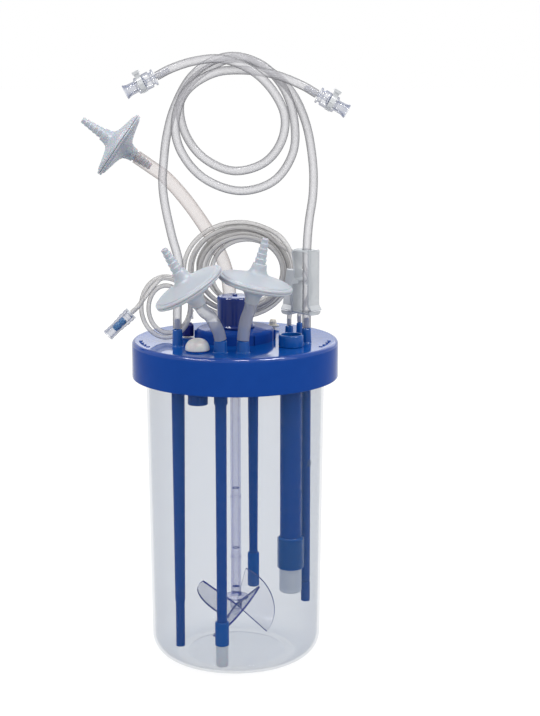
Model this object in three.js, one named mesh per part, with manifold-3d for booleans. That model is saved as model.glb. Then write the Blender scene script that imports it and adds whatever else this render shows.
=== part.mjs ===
// Bench bioreactor: a clear stirred vessel of about five litres, closed by a moulded blue head
// plate that carries the drive tower, the hose ports, the dip tubes and a probe sleeve.
// Millimetres, +Z up, origin at the centre of the vessel's underside.

import * as THREE from 'three';
import { mergeVertices } from 'three/addons/utils/BufferGeometryUtils.js';
import Module from 'manifold-3d';

const wasm = await Module();
wasm.setup();

// ---------------------------------------------------------------- driving dimensions

const wideSides = 44; // facets round the vessel and the head plate
const middleSides = 20; // round the filters, the tower and the probe sleeve
const smallSides = 12; // round the stubs, tubes and couplings
const thinSides = 8; // round the thin lines

const seatGap = 0.3; // between pieces that seat on each other
const runGap = 0.4; // between pieces that turn or slide past each other

const vesselHeight = 298; // underside to the top of the rim flange
const vesselTopRadius = 82.8; // outside, under the rim flange
const vesselTaper = 3.5; // how much narrower the vessel is just above its bottom corner
const vesselWall = 2.4;
const vesselCorner = 21; // outside radius of the bottom corner
const vesselCornerStart = -88; // degrees, where the corner leaves the ring that it stands on
const vesselFoot = 1.2; // how far the middle of the base stands off the ground
const vesselFootInset = 23.3; // from the vessel's side to the ring that it stands on
const vesselFootWidth = 10;
const rimWidth = 7; // how far the rim flange stands out of the wall
const rimThickness = 4;

const deckThickness = 4;
const skirtClearance = 2; // between the rim flange and the skirt round it
const skirtDepth = 34.3; // deck top to the skirt's lower edge
const skirtWall = 3.2;
const skirtEdge = 3.4; // rounding of the deck's outer edge
const locatingRib = 8; // rib that centres the plate in the vessel's mouth
const locatingRibWall = 1.8;
const hubInset = 47; // from the vessel's side to the hub's side
const hubHeight = 11;
const hubEdge = 2.6;
const hubWall = 3.5;
const hubRibCount = 6; // upright ribs on the hub's side
const hubRibWidth = 1.6;
const hubRibDepth = 1.4;
const portBore = 1.7;
const spigotLength = 10; // stub under each port that a dip tube is pushed over
const spigotWall = 1.2;
const barbWall = 0.8;

const towerRadius = 16.4;
const towerHeight = 29;
const towerFlange = 1.6; // how far the tower's foot stands out
const towerFlangeHeight = 2.4;
const towerWall = 3;
const towerFloor = 4.5;
const towerStudRadius = 2.3; // stud in the middle of the roof
const towerStudHeight = 1.6;

const shaftRadius = 4.85;
const shaftWall = 1.3;
const journalRadius = 3.6;
const bearingRadius = 7;
const bearingHeight = 11.5;
const bossWall = 2.6; // wall of the bearing's boss under the hub
const bossBelowDeck = 14;
const upperJointHeight = 151.5; // height of the joint between the two upper shaft tubes
const lowerJointHeight = 93;
const jointSpigot = 9;
const jointCollar = 0.35; // how far the bead at each joint stands out of the tube
const rotorHeight = 18; // of the magnetic rotor inside the tower
const rotorGap = 1; // between the rotor and the tower's wall
const rotorCrown = 4.7; // thickness of the rotor over the shaft's end

const impellerHeight = 45.2; // height of the blades' centre above the ground
const impellerBladeCount = 3;
const impellerBladeAzimuth = 28.6; // degrees, of the first blade
const impellerPitch = 49; // degrees, of a blade against the horizontal
const bladeThickness = 1.8;
const bladeUpperAngle = 56.2; // degrees from the blade's radial line to its upper edge
const bladeLowerAngle = 56.4; // and to its lower edge
const bladeUpperReach = 40.8; // length of the upper edge
const bladeLowerReach = 38.6; // length of the lower edge
const hubSleeveRadius = 6;
const hubDiscRadius = 11.5;
const hubDiscThickness = 2.2;
const hubNoseRadius = 3.4;
const hubNoseLength = 7;

const probeSleeveRadius = 9.8;
const probeSleeveWall = 1.6;
const probeSleeveEnd = 110; // height of the sleeve's lower end
const probeCapRadius = 10.25;
const probeCapWall = 2;
const probeCapEnd = 71;
const probeCollarRadius = 11.3;
const probeCollarTop = 124;
const probeCollarBottom = 94;
const probeRingWall = 0.8; // clear ring round the collar
const probeCupRadius = 11.2;
const probeCupHeight = 11;
const probeCupWall = 2.4;
const probeGlandFloor = 2; // floor of the cup above the deck
const probeBoreWall = 1.4;

const septumRadius = 11;
const septumHeight = 10.6;
const septumNeckHeight = 0.7;
const septumStemRadius = 6;
const septumStemLength = 3;
const guideTubeRadius = 9; // blue guide tube under the septum
const guideTubeWall = 2;
const guideTubeLength = 44;
const guideSpigotWall = 1.1;

const feedCapAcross = 11.4; // across the flats of the screw cap
const feedCapHeight = 12.5;
const feedCapChamfer = 2.4;
const feedCapWall = 1.6;
const feedCapLift = 1.2; // cap's lower edge above the deck

const rearPlugRadius = 3.4;
const rearPlugHeight = 8;
const rearTabLength = 13;
const rearTabWidth = 5.6;
const rearTabThickness = 1.5;

const hoseRadius = 3.95; // the two long looped hoses
const exhaustHoseRadius = 6.35;
const gasHoseRadius = 5.6;
const lineRadius = 2.1; // the thin feed lines

const filterRadius = 33.2;
const filterRim = 2.1; // half thickness of the filter's rim
const filterDome = 8.6; // height of the dome over the parting plane
const filterStemRadius = 5.6; // where the stem leaves the cone on the dome
const filterConeRadius = 8.2;
const filterConeHeight = 7.4; // dome to the top of the cone
const filterTipRadius = 3.1;
const filterBarbDepth = 0.7;
const filterBarbPitch = 4.6;
const filterStemLength = 41; // parting plane to the stem's end
const filterBore = 1.7;
const bleedNubRadius = 1.9;
const bleedNubLength = 4.5;

const hoseStep = 2.3; // length of a hose's facets, in hose diameters
const hoseBore = 2.4;
const lineBore = 1.1;

const couplingBodyRadius = 6.8; // quick couplings on the long hoses
const couplingCore = 4.7;
const couplingBore = 1.5;
const couplingBarb = 14;
const couplingLength = 30;
const latchCentre = 13.5;
const latchThickness = 5;
const latchWidth = 13.6;
const latchPad = 2.6;
const latchTravel = 2;

const luerBodyRadius = 5.5; // needle-free valve on the feed line
const luerWall = 1.7;
const luerLength = 28.5;
const luerBarbLength = 9;
const luerSeat = 1.6; // how deep the barb's foot sits in the valve body
const luerPistonRadius = 3.3;
const luerPistonFrom = 7.4;
const luerPistonTo = 20.4;

const clampWall = 1.8;
const clampCorner = 3; // rounding of its corners
const clampWaist = 0.66; // width of the waist, as a share of the clamp's
const clampFront = 3.4; // hose to the lever's inner face
const clampHook = 3.4;
const clampSlack = 1.1; // between a hose and the clamp round it

const degrees = Math.PI / 180;
const vesselBaseRadius = vesselTopRadius - vesselTaper;
const vesselFootOuter = vesselBaseRadius - vesselFootInset;
const vesselFootInner = vesselFootOuter - vesselFootWidth;
const hubRadius = vesselTopRadius - hubInset;
const skirtRadius = vesselTopRadius + rimWidth + skirtClearance + skirtWall;
const deckTop = vesselHeight + seatGap + deckThickness;
const deckUnder = deckTop - deckThickness;
const hubTop = deckTop + hubHeight;

// A place on the deck: its bearing in degrees from +X, and how far it stands in from the vessel's
// side.
function spot(bearing, inset) {
  const reach = vesselTopRadius - inset;
  return [reach * Math.cos(bearing * degrees), reach * Math.sin(bearing * degrees)];
}

// Ports in the deck. foot and neck: radius of the stub at the deck and at its top; rise: stub
// height; barb: radius and length of the barb; spigot: radius of the spigot below the deck.
const ports = {
  sample: {
    at: spot(-147.6, 21.2), foot: 4.7, neck: 4.2, rise: 15.6,
    barb: 2.7, barbLength: 9, spigot: 3.4,
  },
  gas_left: {
    at: spot(-101.7, 18.5), foot: 6, neck: 5.7, rise: 10.7,
    barb: 4, barbLength: 12, spigot: 3.1,
  },
  gas_right: {
    at: spot(-83.7, 19.4), foot: 5.7, neck: 5.4, rise: 10.2,
    barb: 4, barbLength: 12, spigot: 0,
  },
  medium: {
    at: spot(-17.1, 14.8), foot: 4.5, neck: 4, rise: 13.8,
    barb: 2.7, barbLength: 9, spigot: 2.6,
  },
  feed: {
    at: spot(3.4, 32.7), foot: 4, neck: 3.5, rise: 11.7,
    barb: 1.6, barbLength: 6, spigot: 0,
  },
  base: {
    at: spot(18.4, 19.6), foot: 3, neck: 2.6, rise: 11.4,
    barb: 1.6, barbLength: 6, spigot: 0,
  },
  exhaust: {
    at: spot(94.9, 24.6), foot: 7.8, neck: 7.3, rise: 10,
    barb: 4.8, barbLength: 12, spigot: 0,
  },
  level: { at: spot(71.2, 30), foot: 0, neck: 0, rise: 0, barb: 0, barbLength: 0, spigot: 3 },
};
const probeAt = spot(-36.3, 20.3);
const septumAt = spot(-120, 15.8);
const feedCapAt = spot(167.2, 37.7);
const rearPlugAt = spot(54.2, 21.2);

// Dip tubes. head, foot and tail: outside radius under the plate, at the end of the taper and below
// it; taperEnd and end: heights above the ground; bore: inside radius.
const dipTubeHead = 48; // length under the plate before the taper starts
const dips = {
  sample: { head: 6, foot: 4.65, tail: 4.2, taperEnd: 61.3, end: 17, bore: 2.3 },
  gas_left: { head: 5.15, foot: 4.65, tail: 4.65, taperEnd: 60, end: 34, bore: 1.9 },
  level: { head: 5.1, foot: 4.1, tail: 4.1, taperEnd: 84, end: 60, bore: 1.9 },
  medium: { head: 4.15, foot: 4.1, tail: 3.1, taperEnd: 76, end: 66, bore: 1.4 },
};
const spargeSleeveRadius = 6.15;
const spargeSleeveLength = 43; // sleeve under the plate round the sparge tube
const spargerCollarRadius = 6.4;
const spargerCollarRise = 17; // collar above the sparge tube's end
const spargerCollarDrop = 5.3; // and below it
const spargerTipRadius = 5.6;
const spargerTipEnd = 8.4;
const levelBootRadius = 5.65;
const levelBootRise = 21; // boot above the level tube's end
const levelBootDrop = 13;
const harvestSleeveWall = 0.8;
const harvestSleeveRise = 8.7;
const harvestSleeveDrop = 10;

// ---------------------------------------------------------------- finishes

const finish = (color, roughness, opacity = 1) =>
  new THREE.MeshStandardMaterial({ color, roughness, metalness: 0, transparent: opacity < 1, opacity });
const finishes = {
  blue: () => finish(0x2246a0, 0.22),
  navy: () => finish(0x262c72, 0.2),
  clear: () => finish(0xdfe8ef, 0.05, 0.3),
  violet: () => finish(0xb9b4de, 0.1, 0.55),
  hose: () => finish(0xe6e4e2, 0.2, 0.5),
  milky: () => finish(0xd6dde4, 0.45, 0.9),
  white: () => finish(0xeceae4, 0.4),
  ivory: () => finish(0xe9e4d2, 0.4),
  grey: () => finish(0x9a9ea3, 0.5),
  sinter: () => finish(0xd9d6cf, 0.9),
  frosted: () => finish(0xc4c8cc, 0.6, 0.95),
  valve: () => finish(0x2f8fd0, 0.3),
};

// ---------------------------------------------------------------- helpers


// Positions only, shared vertices merged, no empty triangles, faces pointing out.
function tidy(geometry) {
  const bare = new THREE.BufferGeometry();
  bare.setAttribute('position', geometry.getAttribute('position').clone());
  if (geometry.index) bare.setIndex(geometry.index.clone());
  const merged = mergeVertices(bare, 1e-4);
  const corners = merged.index.array;
  const kept = [];
  for (let i = 0; i < corners.length; i += 3) {
    const [a, b, c] = [corners[i], corners[i + 1], corners[i + 2]];
    if (a !== b && b !== c && c !== a) kept.push(a, b, c);
  }
  merged.setIndex(signedVolume(merged, kept) < 0 ? kept.reverse() : kept);
  return merged;
}

function signedVolume(geometry, corners) {
  const p = geometry.getAttribute('position');
  const [a, b, c] = [new THREE.Vector3(), new THREE.Vector3(), new THREE.Vector3()];
  let volume = 0;
  for (let i = 0; i < corners.length; i += 3) {
    a.fromBufferAttribute(p, corners[i]);
    b.fromBufferAttribute(p, corners[i + 1]);
    c.fromBufferAttribute(p, corners[i + 2]);
    volume += a.dot(b.cross(c)) / 6;
  }
  return volume;
}

// A manifold of a closed geometry, for adding and cutting.
function solid(geometry) {
  const closed = tidy(geometry);
  return new wasm.Manifold(
    new wasm.Mesh({
      numProp: 3,
      vertProperties: Float32Array.from(closed.getAttribute('position').array),
      triVerts: Uint32Array.from(closed.index.array),
    }),
  );
}

function geometryOf(manifold) {
  const mesh = manifold.getMesh();
  const geometry = new THREE.BufferGeometry();
  geometry.setAttribute('position', new THREE.BufferAttribute(mesh.vertProperties, 3));
  geometry.setIndex(new THREE.BufferAttribute(mesh.triVerts, 1));
  return geometry;
}

// A turned body about Z: profile is a list of [radius, height]. It starts and ends on the axis,
// or it is closed into a ring.
function turned(profile, sides) {
  const onAxis = profile[0][0] === 0 && profile[profile.length - 1][0] === 0;
  const outline = onAxis ? profile : [...profile, profile[0]];
  const points = outline.map(([radius, height]) => new THREE.Vector2(radius, height));
  return tidy(new THREE.LatheGeometry(points, sides).rotateX(Math.PI / 2));
}

const rod = (radius, from, to, sides) => turned([[0, from], [radius, from], [radius, to], [0, to]], sides);

const tube = (outer, inner, from, to, sides) =>
  turned([[inner, from], [outer, from], [outer, to], [inner, to]], sides);

// Points of a rounding in a profile, about (radius, height), from one angle to another in degrees.
function rounding(radius, height, size, from, to, steps = 4) {
  const points = [];
  for (let i = 0; i <= steps; i += 1) {
    const angle = (from + ((to - from) * i) / steps) * degrees;
    points.push([radius + size * Math.cos(angle), height + size * Math.sin(angle)]);
  }
  return points;
}

function box(width, depth, height, x, y, z) {
  return new THREE.BoxGeometry(width, depth, height).translate(x, y, z);
}

// A flat shape in local X and Z, extruded along Y and centred on it.
function plateAlongY(points, width) {
  const shape = new THREE.Shape(points.map(([x, z]) => new THREE.Vector2(x, z)));
  const plate = new THREE.ExtrudeGeometry(shape, { depth: width, bevelEnabled: false, curveSegments: 6 });
  return tidy(plate.rotateX(Math.PI / 2).translate(0, width / 2, 0));
}

// A round hose along a smooth curve through hand-chosen points.
function hoseAlong(points, radius, sides) {
  const path = new THREE.CatmullRomCurve3(points.map(([x, y, z]) => new THREE.Vector3(x, y, z)));
  const steps = Math.max(2, Math.round(path.getLength() / (hoseStep * 2 * radius)));
  const section = new THREE.Shape();
  for (let i = 0; i < sides; i += 1) {
    const angle = (i / sides) * 2 * Math.PI;
    const [x, y] = [radius * Math.cos(angle), radius * Math.sin(angle)];
    if (i === 0) section.moveTo(x, y);
    else section.lineTo(x, y);
  }
  section.closePath();
  return tidy(new THREE.ExtrudeGeometry(section, { steps, bevelEnabled: false, extrudePath: path }));
}

const assembly = new THREE.Group();

function place(name, geometry, look, at = [0, 0, 0], turn = null) {
  const mesh = new THREE.Mesh(geometry, finishes[look]());
  mesh.name = name;
  mesh.position.set(...at);
  if (turn) mesh.quaternion.copy(turn);
  assembly.add(mesh);
  return mesh;
}

// The turn that takes +Z to a direction, then spins about it.
function pointing(direction, spin = 0) {
  const axis = new THREE.Vector3(...direction).normalize();
  const turn = new THREE.Quaternion().setFromUnitVectors(new THREE.Vector3(0, 0, 1), axis);
  const about = new THREE.Quaternion().setFromAxisAngle(new THREE.Vector3(0, 0, 1), spin * degrees);
  return turn.multiply(about);
}

// ---------------------------------------------------------------- vessel

function vessel() {
  const cornerSteps = 4;
  const wallSlope = (vesselTopRadius - vesselBaseRadius) / (vesselHeight - vesselCorner);
  const outerAt = (height) => vesselBaseRadius + wallSlope * (height - vesselCorner);
  const neck = vesselHeight - rimThickness;
  const middle = vesselBaseRadius - vesselCorner;
  const inner = vesselCorner - vesselWall;
  return turned(
    [
      [0, vesselFoot],
      [vesselFootInner - vesselFoot, vesselFoot],
      [vesselFootInner, 0],
      [vesselFootOuter, 0],
      ...rounding(middle, vesselCorner, vesselCorner, vesselCornerStart, 0, cornerSteps),
      [outerAt(neck), neck],
      [vesselTopRadius + rimWidth, neck],
      [vesselTopRadius + rimWidth, vesselHeight],
      [vesselTopRadius - vesselWall, vesselHeight],
      [outerAt(neck) - vesselWall, neck],
      ...rounding(middle, vesselCorner, inner, 0, -90, cornerSteps),
      [vesselFootOuter - vesselFoot, vesselWall],
      [vesselFootInner, vesselWall + vesselFoot],
      [0, vesselWall + vesselFoot],
    ],
    wideSides,
  );
}

// ---------------------------------------------------------------- head plate

const probeBore = probeSleeveRadius - probeSleeveWall - seatGap - probeBoreWall;
const bossBottom = deckUnder - bossBelowDeck;
const bearingSeat = bossBottom + bearingHeight + 2 * seatGap;
const guideBore = guideTubeRadius - guideTubeWall;

function headPlateBody() {
  const skirtBottom = deckTop - skirtDepth;
  const ribRadius = vesselTopRadius - vesselWall - seatGap;
  const hubInside = hubRadius - hubWall;
  const bossRadius = bearingRadius + seatGap + bossWall;
  return turned(
    [
      [bearingRadius + seatGap, bossBottom],
      [bearingRadius + seatGap, bearingSeat],
      [journalRadius + runGap, bearingSeat],
      [journalRadius + runGap, hubTop],
      ...rounding(hubRadius - hubEdge, hubTop - hubEdge, hubEdge, 90, 0, 2),
      [hubRadius, deckTop],
      ...rounding(skirtRadius - skirtEdge, deckTop - skirtEdge, skirtEdge, 90, 0, 3),
      [skirtRadius, skirtBottom + 1],
      [skirtRadius - 1, skirtBottom],
      [skirtRadius - skirtWall, skirtBottom],
      [skirtRadius - skirtWall, deckUnder],
      [ribRadius, deckUnder],
      [ribRadius, deckUnder - locatingRib],
      [ribRadius - locatingRibWall, deckUnder - locatingRib],
      [ribRadius - locatingRibWall, deckUnder],
      [hubInside, deckUnder],
      [hubInside, hubTop - hubWall],
      [bossRadius, hubTop - hubWall],
      [bossRadius, bossBottom],
    ],
    wideSides,
  );
}

// A hose port: stub and barb above the deck, spigot below it.
function portStub({ at, foot, neck, rise, barb, barbLength, spigot }) {
  const top = deckTop + rise;
  const middle = deckTop - deckThickness / 2;
  const profile = [[0, middle], [foot, middle], [foot, deckTop + 1], [neck, top]];
  const teeth = 2;
  for (let i = 0; i < teeth; i += 1) {
    const from = top + (barbLength * i) / teeth;
    profile.push([barb * 0.82, from], [barb, from + 0.8]);
  }
  profile.push([barb * 0.78, top + barbLength], [0, top + barbLength]);
  const parts = rise > 0 ? [solid(turned(profile, smallSides))] : [];
  if (spigot > 0) parts.push(solid(rod(spigot, deckUnder - spigotLength, middle, smallSides)));
  return parts.map((part) => part.translate([at[0], at[1], 0]));
}

// The bore through a port, or up to half way through the deck where no stub stands above it.
function portBoreCut({ at, rise, barb, barbLength, spigot }) {
  const from = deckUnder - (spigot > 0 ? spigotLength : 0) - 1;
  const to = rise > 0 ? deckTop + rise + barbLength + 1 : deckTop - deckThickness / 2;
  const inBarb = barb > 0 ? barb - barbWall : portBore;
  const inSpigot = spigot > 0 ? spigot - spigotWall : portBore;
  const radius = Math.min(portBore, inBarb, inSpigot);
  return solid(rod(radius, from, to, thinSides)).translate([at[0], at[1], 0]);
}

function headPlate() {
  let plate = solid(headPlateBody());
  const holes = [];
  for (const port of Object.values(ports)) {
    for (const part of portStub(port)) plate = plate.add(part);
    holes.push(portBoreCut(port));
  }
  const middle = deckTop - deckThickness / 2;
  const bore = (radius, from, to, [x, y]) => solid(rod(radius, from, to, middleSides)).translate([x, y, 0]);
  holes.push(bore(probeBore + probeBoreWall + seatGap, deckUnder - 1, deckTop + 1, probeAt));

  const neckTop = deckTop + septumNeckHeight;
  const spigot = guideBore - seatGap;
  plate = plate.add(bore(septumRadius - 2, middle, neckTop, septumAt));
  plate = plate.add(bore(spigot, deckUnder - spigotLength, middle, septumAt));
  holes.push(bore(spigot - guideSpigotWall, deckUnder - spigotLength - 1, middle, septumAt));
  holes.push(bore(septumStemRadius + seatGap, deckTop - septumStemLength - seatGap, neckTop + 1, septumAt));

  const [cx, cy] = feedCapAt;
  const threadRadius = feedCapAcross / 2 - feedCapWall - seatGap;
  const threadTop = deckTop + feedCapLift + feedCapHeight - feedCapWall - 1;
  plate = plate.add(solid(rod(threadRadius, middle, threadTop, smallSides)).translate([cx, cy, 0]));
  holes.push(solid(rod(portBore, deckUnder - 1, threadTop + 1, thinSides)).translate([cx, cy, 0]));

  const [rx, ry] = rearPlugAt;
  const rearBore = rearPlugRadius * 0.6 + seatGap;
  plate = plate.add(solid(rod(rearPlugRadius, middle, deckTop + 2, smallSides)).translate([rx, ry, 0]));
  holes.push(solid(rod(rearBore, deckUnder - 1, deckTop + 3, smallSides)).translate([rx, ry, 0]));

  for (let i = 0; i < hubRibCount; i += 1) {
    const angle = (360 * i) / hubRibCount;
    const height = hubHeight - hubEdge - 0.5;
    const rib = box(hubRibDepth + 2, hubRibWidth, height + 1, hubRadius - 1 + hubRibDepth / 2, 0, 0);
    plate = plate.add(solid(rib).translate([0, 0, deckTop + (height - 1) / 2]).rotate([0, 0, angle]));
  }
  for (const hole of holes) plate = plate.subtract(hole);
  return geometryOf(plate);
}

// The gland that a probe is pushed through: a cup on the deck and a spigot that carries its sleeve.
function probeGland() {
  const spigot = probeBore + probeBoreWall;
  const floor = deckTop + probeGlandFloor;
  const top = deckTop + probeCupHeight;
  return turned(
    [
      [probeBore, deckUnder - spigotLength],
      [spigot, deckUnder - spigotLength],
      [spigot, deckTop + seatGap],
      [probeCupRadius, deckTop + seatGap],
      [probeCupRadius, top - 0.8],
      [probeCupRadius - 0.8, top],
      [probeCupRadius - probeCupWall, top],
      [probeCupRadius - probeCupWall, floor],
      [probeBore, floor],
    ],
    middleSides,
  );
}

// ---------------------------------------------------------------- drive and agitator

function driveTower() {
  const foot = towerRadius + towerFlange;
  const bore = journalRadius + runGap;
  const cavity = towerRadius - towerWall;
  const roof = towerHeight - towerWall;
  return turned(
    [
      [bore, 0],
      [foot, 0],
      [foot, towerFlangeHeight - 1],
      [foot - 1, towerFlangeHeight],
      [towerRadius, towerFlangeHeight + 1],
      ...rounding(towerRadius - 2, towerHeight - 2, 2, 0, 90, 2),
      [towerStudRadius, towerHeight],
      [towerStudRadius, towerHeight + towerStudHeight],
      [0, towerHeight + towerStudHeight],
      [0, roof],
      [cavity, roof],
      [cavity, towerFloor],
      [bore, towerFloor],
    ],
    middleSides,
  );
}

const towerBase = hubTop + seatGap;
const rotorBase = towerBase + towerFloor + runGap;
const journalTop = rotorBase + rotorHeight - rotorCrown;
const shaftTop = bossBottom - runGap; // shoulder under the bearing
const bearingBore = journalRadius + seatGap;

// The rotor sits on the shaft's end; the motor turns it through the tower's wall by magnets.
function driveCoupling() {
  const bore = journalRadius + seatGap;
  const outer = towerRadius - towerWall - rotorGap;
  const boreEnd = journalTop + seatGap - rotorBase;
  return turned(
    [
      [0, boreEnd],
      [bore, boreEnd],
      [bore, 0],
      [outer, 0],
      [outer, rotorHeight - 1],
      [outer - 1, rotorHeight],
      [0, rotorHeight],
    ],
    middleSides,
  );
}

// A shaft tube with a bead at each joint and a spigot at its top or a journal above it.
function shaftTube(bottom, top, head) {
  const bore = shaftRadius - shaftWall;
  const bead = shaftRadius + jointCollar;
  const outside = [
    [bore, bottom],
    [bead, bottom],
    [bead, bottom + 1.2],
    [shaftRadius, bottom + 1.6],
    [shaftRadius, top - 1.6],
    [bead, top - 1.2],
    [bead, top],
  ];
  const spigot = bore - seatGap;
  const headRadius = head.journal ? journalRadius : spigot;
  const headTop = top + head.length;
  const neckInside = headRadius - shaftWall;
  return turned(
    [
      ...outside,
      [headRadius, top],
      [headRadius, headTop],
      [neckInside, headTop],
      [neckInside, top - 2],
      [bore, top - 3],
    ],
    smallSides,
  );
}

const hubDiscTop = impellerHeight + 9.2;

// One blade as a plate in the local X-Z plane: X is radial, Z runs along the blade's chord.
function bladePlate() {
  const outline = [[0, 0]];
  const steps = 6;
  for (let i = 0; i <= steps; i += 1) {
    const share = i / steps;
    const angle = (share * (bladeUpperAngle + bladeLowerAngle) - bladeLowerAngle) * degrees;
    const reach = bladeLowerReach + share * (bladeUpperReach - bladeLowerReach);
    outline.push([reach * Math.cos(angle), reach * Math.sin(angle)]);
  }
  return plateAlongY(outline, bladeThickness);
}

function impeller() {
  const discBottom = hubDiscTop - hubDiscThickness;
  const hubBottom = impellerHeight - 3;
  const spigot = shaftRadius - shaftWall - seatGap;
  let body = solid(
    turned(
      [
        [0, hubBottom - hubNoseLength],
        [hubNoseRadius - 0.8, hubBottom - hubNoseLength],
        [hubNoseRadius, hubBottom - hubNoseLength + 0.8],
        [hubNoseRadius, hubBottom],
        [hubSleeveRadius - 0.6, hubBottom],
        [hubSleeveRadius, discBottom],
        [hubDiscRadius, discBottom],
        [hubDiscRadius, hubDiscTop],
        [spigot, hubDiscTop],
        [spigot, hubDiscTop + jointSpigot],
        [0, hubDiscTop + jointSpigot],
      ],
      middleSides,
    ),
  );
  const tilt = 90 - impellerPitch;
  for (let i = 0; i < impellerBladeCount; i += 1) {
    const azimuth = impellerBladeAzimuth + (360 * i) / impellerBladeCount;
    // Tilting about X leans the chord towards the counter-clockwise side.
    const blade = solid(bladePlate()).rotate([-tilt, 0, 0]).rotate([0, 0, azimuth]);
    body = body.add(blade.translate([0, 0, impellerHeight]));
  }
  return geometryOf(body);
}

// ---------------------------------------------------------------- dip tubes

// A tapered tube pushed over its port's spigot.
function dipTube(port) {
  const { head, foot, tail, taperEnd, end, bore } = dips[port];
  const socket = ports[port].spigot + seatGap;
  const top = deckUnder - seatGap;
  const socketEnd = deckUnder - spigotLength - seatGap;
  return turned(
    [
      [socket, top],
      [head, top],
      [head, top - dipTubeHead],
      [foot, taperEnd],
      [tail, taperEnd - 1],
      [tail, end],
      [bore, end],
      [bore, socketEnd - 1],
      [socket, socketEnd],
    ],
    smallSides,
  );
}

function spargeSleeve() {
  const top = deckUnder - seatGap;
  return tube(spargeSleeveRadius, dips.gas_left.head + seatGap, top - spargeSleeveLength, top, smallSides);
}

// Collar on the sparge tube's end, and the porous tip pushed into it.
function spargerCollar() {
  const { tail, end } = dips.gas_left;
  const seat = end - seatGap;
  const top = end + spargerCollarRise;
  return turned(
    [
      [tail + seatGap, seat],
      [spargerTipRadius + seatGap, seat],
      [spargerTipRadius + seatGap, end - spargerCollarDrop],
      [spargerCollarRadius, end - spargerCollarDrop],
      [spargerCollarRadius, top - 0.8],
      [spargerCollarRadius - 0.6, top],
      [tail + seatGap, top],
    ],
    smallSides,
  );
}

function spargerTip() {
  const top = dips.gas_left.end - 2 * seatGap;
  const bore = spargerTipRadius - 3.6;
  return turned(
    [
      [0, spargerTipEnd],
      [spargerTipRadius - 0.6, spargerTipEnd],
      [spargerTipRadius, spargerTipEnd + 0.6],
      [spargerTipRadius, top],
      [bore, top],
      [bore, spargerTipEnd + 4],
      [0, spargerTipEnd + 4],
    ],
    smallSides,
  );
}

function levelTubeBoot() {
  const { tail, end } = dips.level;
  const [top, bottom] = [end + levelBootRise, end - levelBootDrop];
  return turned(
    [
      [0, bottom],
      [levelBootRadius - 0.65, bottom],
      [levelBootRadius, bottom + 1],
      [levelBootRadius, top - 1.1],
      [levelBootRadius - 0.55, top],
      [tail + seatGap, top],
      [tail + seatGap, end - seatGap],
      [0, end - seatGap],
    ],
    smallSides,
  );
}

function harvestTubeSleeve() {
  const { tail, end } = dips.medium;
  const bore = tail + seatGap;
  return tube(bore + harvestSleeveWall, bore, end - harvestSleeveDrop, end + harvestSleeveRise, smallSides);
}

function dipTubes() {
  const under = (port) => [...ports[port].at, 0];
  place('sample_dip_tube', dipTube('sample'), 'blue', under('sample'));
  place('sparge_tube', dipTube('gas_left'), 'blue', under('gas_left'));
  place('sparge_sleeve', spargeSleeve(), 'blue', under('gas_left'));
  place('sparger_collar', spargerCollar(), 'blue', under('gas_left'));
  place('sparger_tip', spargerTip(), 'sinter', under('gas_left'));
  place('level_dip_tube', dipTube('level'), 'blue', under('level'));
  place('level_tube_boot', levelTubeBoot(), 'blue', under('level'));
  place('harvest_dip_tube', dipTube('medium'), 'blue', under('medium'));
  place('harvest_tube_sleeve', harvestTubeSleeve(), 'blue', under('medium'));
}

// ---------------------------------------------------------------- probe sleeve

function probeAssembly() {
  const [x, y] = probeAt;
  const bore = probeSleeveRadius - probeSleeveWall;
  const top = deckUnder - seatGap;
  place('probe_sleeve', tube(probeSleeveRadius, bore, probeSleeveEnd, top, middleSides), 'blue', [x, y, 0]);

  const lip = probeSleeveRadius + seatGap;
  const inside = probeCapRadius + seatGap;
  const collar = turned(
    [
      [lip, probeCollarTop],
      [lip, probeSleeveEnd + 1],
      [inside, probeSleeveEnd],
      [inside, probeCollarBottom],
      [probeCollarRadius, probeCollarBottom],
      [probeCollarRadius, probeCollarTop - 1],
      [probeCollarRadius - 0.8, probeCollarTop],
    ],
    middleSides,
  );
  place('probe_collar', collar, 'blue', [x, y, 0]);

  const ringBore = probeCollarRadius + seatGap;
  const [ringFrom, ringTo] = [probeCollarBottom + 1, probeCollarTop - 1.5];
  const ring = tube(ringBore + probeRingWall, ringBore, ringFrom, ringTo, middleSides);
  place('probe_collar_ring', ring, 'clear', [x, y, 0]);

  const cap = turned(
    [
      [0, probeCapEnd],
      [probeCapRadius - 1.2, probeCapEnd],
      [probeCapRadius, probeCapEnd + 1.2],
      [probeCapRadius, probeSleeveEnd - seatGap],
      [probeCapRadius - probeCapWall, probeSleeveEnd - seatGap],
      [probeCapRadius - probeCapWall, probeCapEnd + 3],
      [0, probeCapEnd + 3],
    ],
    middleSides,
  );
  place('probe_membrane_cap', cap, 'frosted', [x, y, 0]);
}

// ---------------------------------------------------------------- plugs and caps

function septumGuide() {
  const top = deckUnder - seatGap;
  return tube(guideTubeRadius, guideBore, top - guideTubeLength, top, middleSides);
}

function septum() {
  const base = septumNeckHeight + seatGap;
  const steps = 4;
  const dome = [];
  for (let i = 1; i <= steps; i += 1) {
    const angle = (90 * i * degrees) / steps;
    dome.push([septumRadius * Math.cos(angle) ** 0.9, base + 1 + (septumHeight - 1) * Math.sin(angle)]);
  }
  dome[steps - 1][0] = 0;
  return turned(
    [
      [0, -septumStemLength],
      [septumStemRadius, -septumStemLength],
      [septumStemRadius, base],
      [septumRadius - 0.6, base],
      [septumRadius, base + 1],
      ...dome,
    ],
    middleSides,
  );
}

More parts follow.
